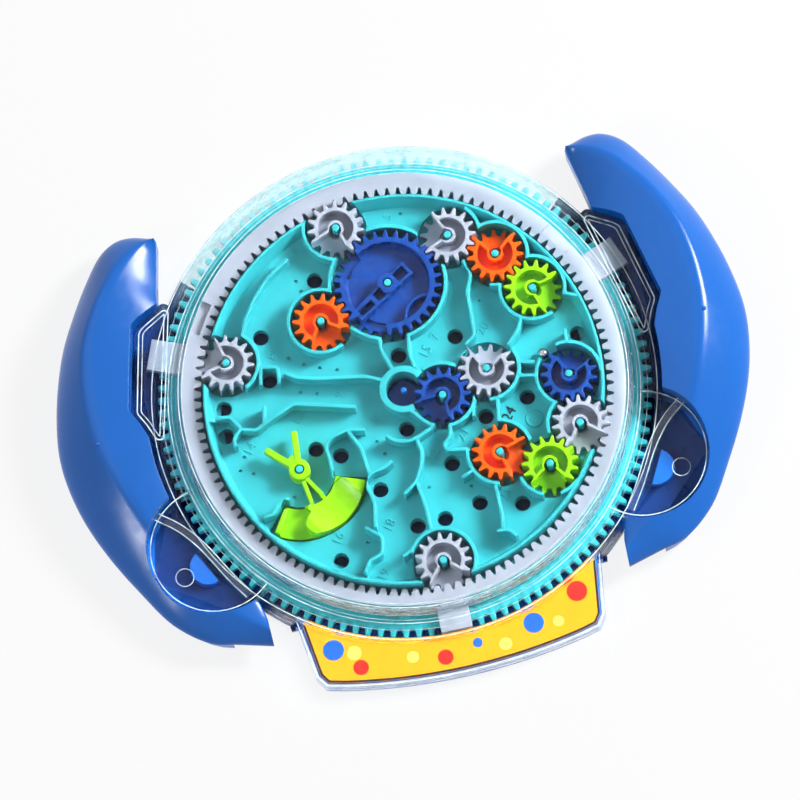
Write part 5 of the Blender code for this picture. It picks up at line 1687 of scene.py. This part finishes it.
@dataclass
class BaseTray:
    """The blue tray; away from the label its edge is set back, and a clear foot ring closes it."""

    house: Housing
    edge: float = 96.5
    top: float = 2.1
    back: Point = (41, 139)
    label_side: float = -84.5
    label_half: float = 62
    label_inset: float = 1.5
    beyond: Point = (90, -130)
    under: float = -1
    cut_tops: Triple = (6.5, 9, 12)
    deep: float = 113
    pad: Point = (-93.6, -51.3)
    pad_radius: float = 7.8
    pad_span: Point = (2, 5.75)
    pad_facing: Point = (207, -27)
    tip: tuple[Point, ...] = ((-99.3, -84), (-86.5, -87.3), (-74.1, -90.7), (-70, -91.5),
                              (-70, -100), (-105, -100), (-105, -84))

    def inside(self, face: bpy.types.MeshPolygon) -> bool:
        """Tell whether a face lies in the drum's hollow or in a thumb well, where the tray is painted in
        shade.

        Args:
            face: a face of the tray.

        Returns:
            Whether it does.
        """
        x, y, z = face.center / MM
        well = math.hypot(abs(x) + self.house.well[0], y - self.house.well[1])
        near = math.hypot(x, y) < self.deep or well < self.house.well_radius
        return z > 1 and y > self.label_side and near and face.normal.z > -0.5

    def build_tray(self) -> None:
        """Take the tray from the frame, set back its edge and paint shade on its faces in the hollow and
        the wells.
        """
        shape = Shape(Look.BASE)
        shape.mesh.from_mesh(frame["nodes"]["base_tray"].data)
        bmesh.ops.scale(shape.mesh, verts=shape.mesh.verts, vec=(1 / MM, 1 / MM, 1 / MM))
        piece = Piece("base_tray_moulded", shape)
        edge_top, bay_top, tip_top = self.cut_tops
        back = sector(AXIS, self.edge, self.house.skirt + 2, *self.back)
        piece.cut(block(Look.BASE, back, self.under, edge_top))
        side, half, (wide, front) = self.label_side, self.label_half, self.beyond
        bay = [point for point in self.house.label_outline(-self.label_inset) if point[1] < side]
        around = [(-half, side), (-wide, side), (-wide, front), (wide, front), (wide, side)]
        piece.cut(block(Look.BASE, [(half, side), *bay, *around], self.under, bay_top))
        piece.cut(*[block(Look.BASE, mirrored(self.tip, end), self.under, tip_top)
                    for end in (-1, 1)])
        # The faces in the drum's hollow and the thumb wells get a darker copy of the blue: painted
        # shade.
        piece.repaint(Look.BASE_PAINTED_SHADE, self.inside).settle("housing", "base_tray", angle=18)

    def build(self) -> None:
        """Make the tray, the thumb pads and the foot ring."""
        self.build_tray()
        for side, middle in zip((-1, 1), self.pad_facing):
            pad = arc(mirrored([self.pad], side)[0], self.pad_radius, middle - 90, middle + 90)
            Piece(sided("thumb_pad", side), block(Look.BASE, pad, *self.pad_span, 0.6)).settle("housing")
        ring = sector(AXIS, self.edge + 0.02, self.house.skirt, *self.back)
        Piece("foot_ring_0", block(Look.CLEAR, ring, 0, self.top, 0.3)).settle("housing")


def dress_screws() -> None:
    """Give the CAD screws their steel."""
    for name, obj in frame["nodes"].items():
        if "screw" in name:
            for slot in obj.material_slots:
                slot.material = Look.STEEL.material()
            LOG.info("%s keeps its CAD form in steel", name)


# Studio

@dataclass
class Studio:
    """Floor, world, lamps and camera of the photograph."""

    elevation: float = 76
    roll: float = 12.6
    distance: float = 8
    lens: float = 883.1
    sensor: float = 36
    clip: Point = (0.1, 20)
    aim: Triple = (0, 0, 0.0208)
    aim_pixel: Point = (403.4, 388.9)
    middle: float = 400
    scale: float = 2453
    ambient: float = 0.17
    glow: float = 0.85
    paper: float = 0.9
    floor_half: float = 3
    floor_low: float = -0.0002
    lamps: tuple[tuple[str, Triple, float, float], ...] = (
        ("key", (1.294, 0.347, 1.047), 0.45, 31), ("fill", (-0.4, 0.5, 1.3), 1, 1.2),
        ("side", (-1.35, -0.49, 1.08), 0.3, 5.5))

    def build_camera(self) -> None:
        """Set the camera at the photograph's viewing angle."""
        tilt, roll = math.radians(self.elevation), math.radians(self.roll)
        right = Vector((1, 0, 0))
        up = Vector((0, math.sin(tilt), math.cos(tilt)))
        ahead = Vector((0, math.cos(tilt), -math.sin(tilt)))
        across = right * math.cos(roll) - up * math.sin(roll)
        upward = right * math.sin(roll) + up * math.cos(roll)
        shift_x, shift_y = self.aim_pixel[0] - self.middle, self.middle - self.aim_pixel[1]
        place = (Vector(self.aim) - ahead * self.distance
                 - across * shift_x / self.scale - upward * shift_y / self.scale)
        data = bpy.data.cameras.new("photo_camera")
        data.lens = self.lens
        data.sensor_width = self.sensor
        data.clip_start, data.clip_end = self.clip
        camera = stand("photo_camera", data)
        turned = Matrix((across, upward, -ahead)).transposed().to_4x4()
        camera.matrix_world = Matrix.Translation(place) @ turned
        bpy.context.scene.camera = camera

    def build_lamp(self, name: str, place: Triple, size: float, power: float) -> None:
        """Hang a square soft lamp that faces the toy.

        Args:
            name: the lamp's name.
            place: its place, in metres.
            size: its width, in metres.
            power: its power, in watts.
        """
        data = bpy.data.lights.new(name, "AREA")
        data.size = size
        data.energy = power
        lamp = stand(name, data)
        lamp.location = place
        lamp.rotation_euler = (-Vector(place)).to_track_quat("-Z", "Y").to_euler()

    def build_world(self) -> None:
        """Make a white world that looks plain white to the camera and in reflections."""
        world = bpy.data.worlds.new("studio")
        bpy.context.scene.world = world
        nodes = Nodes(world)
        path = nodes.add("LightPath").outputs
        shiny = nodes.math("MAXIMUM", path["Is Glossy Ray"], path["Is Transmission Ray"])
        seen = nodes.math("MAXIMUM", path["Is Camera Ray"], shiny)
        share = nodes.math("SUBTRACT", seen, path["Diffuse Depth"])
        lights = [nodes.add("Background", {"Color": WHITE, "Strength": level}).outputs[0]
                  for level in (self.ambient, 1)]
        nodes.add("OutputWorld", {"Surface": nodes.mix(share, *lights)})

    def build_floor(self) -> None:
        """Lay a pale floor that keeps a faint shadow."""
        nodes = Nodes(bpy.data.materials.new("studio_floor"))
        grey = (self.paper,) * 3
        paper = nodes.add("BsdfDiffuse", {"Color": (*grey, 1)}).outputs[0]
        glow = nodes.add("Emission", {"Color": WHITE, "Strength": 1}).outputs[0]
        half = self.floor_half
        mesh = bpy.data.meshes.new("studio_floor")
        mesh.from_pydata([(x, y, self.floor_low) for x, y in (
            (-half, -half), (half, -half), (half, half), (-half, half))], [], [(0, 1, 2, 3)])
        mesh.materials.append(nodes.finish(nodes.mix(self.glow, paper, glow)))
        stand("studio_floor", mesh)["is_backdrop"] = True

    def build(self) -> None:
        """Set up the whole studio."""
        bpy.context.scene.view_settings.view_transform = "Standard"
        self.build_camera()
        self.build_world()
        self.build_floor()
        for lamp in self.lamps:
            self.build_lamp(*lamp)
        LOG.info("studio ready")


def main() -> None:
    """Build the toy piece by piece."""
    logging.basicConfig(level=logging.INFO, format="%(name)s: %(message)s")
    train, house = GearTrain(), Housing()
    Studio().build()
    MazeDrum(train).build()
    for gear in train.gears:
        (BigGear if gear.name == "gear_blue_big" else SmallGear)(train, gear).build()
    for part in (TiltLever(), Ball(), RingGear(train), SunPinion(train), ClearCover(house),
                 Handle(house, -1), Handle(house, 1), LabelCard(house), BaseTray(house)):
        part.build()
    dress_screws()
    boxes = {"cad": CAD_BOX, "visual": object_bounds()}
    plain = {key: [[float(v) for v in corner] for corner in box] for key, box in boxes.items()}
    LOG.info("sizes %s", plain)


if __name__ == "__main__":
    main()
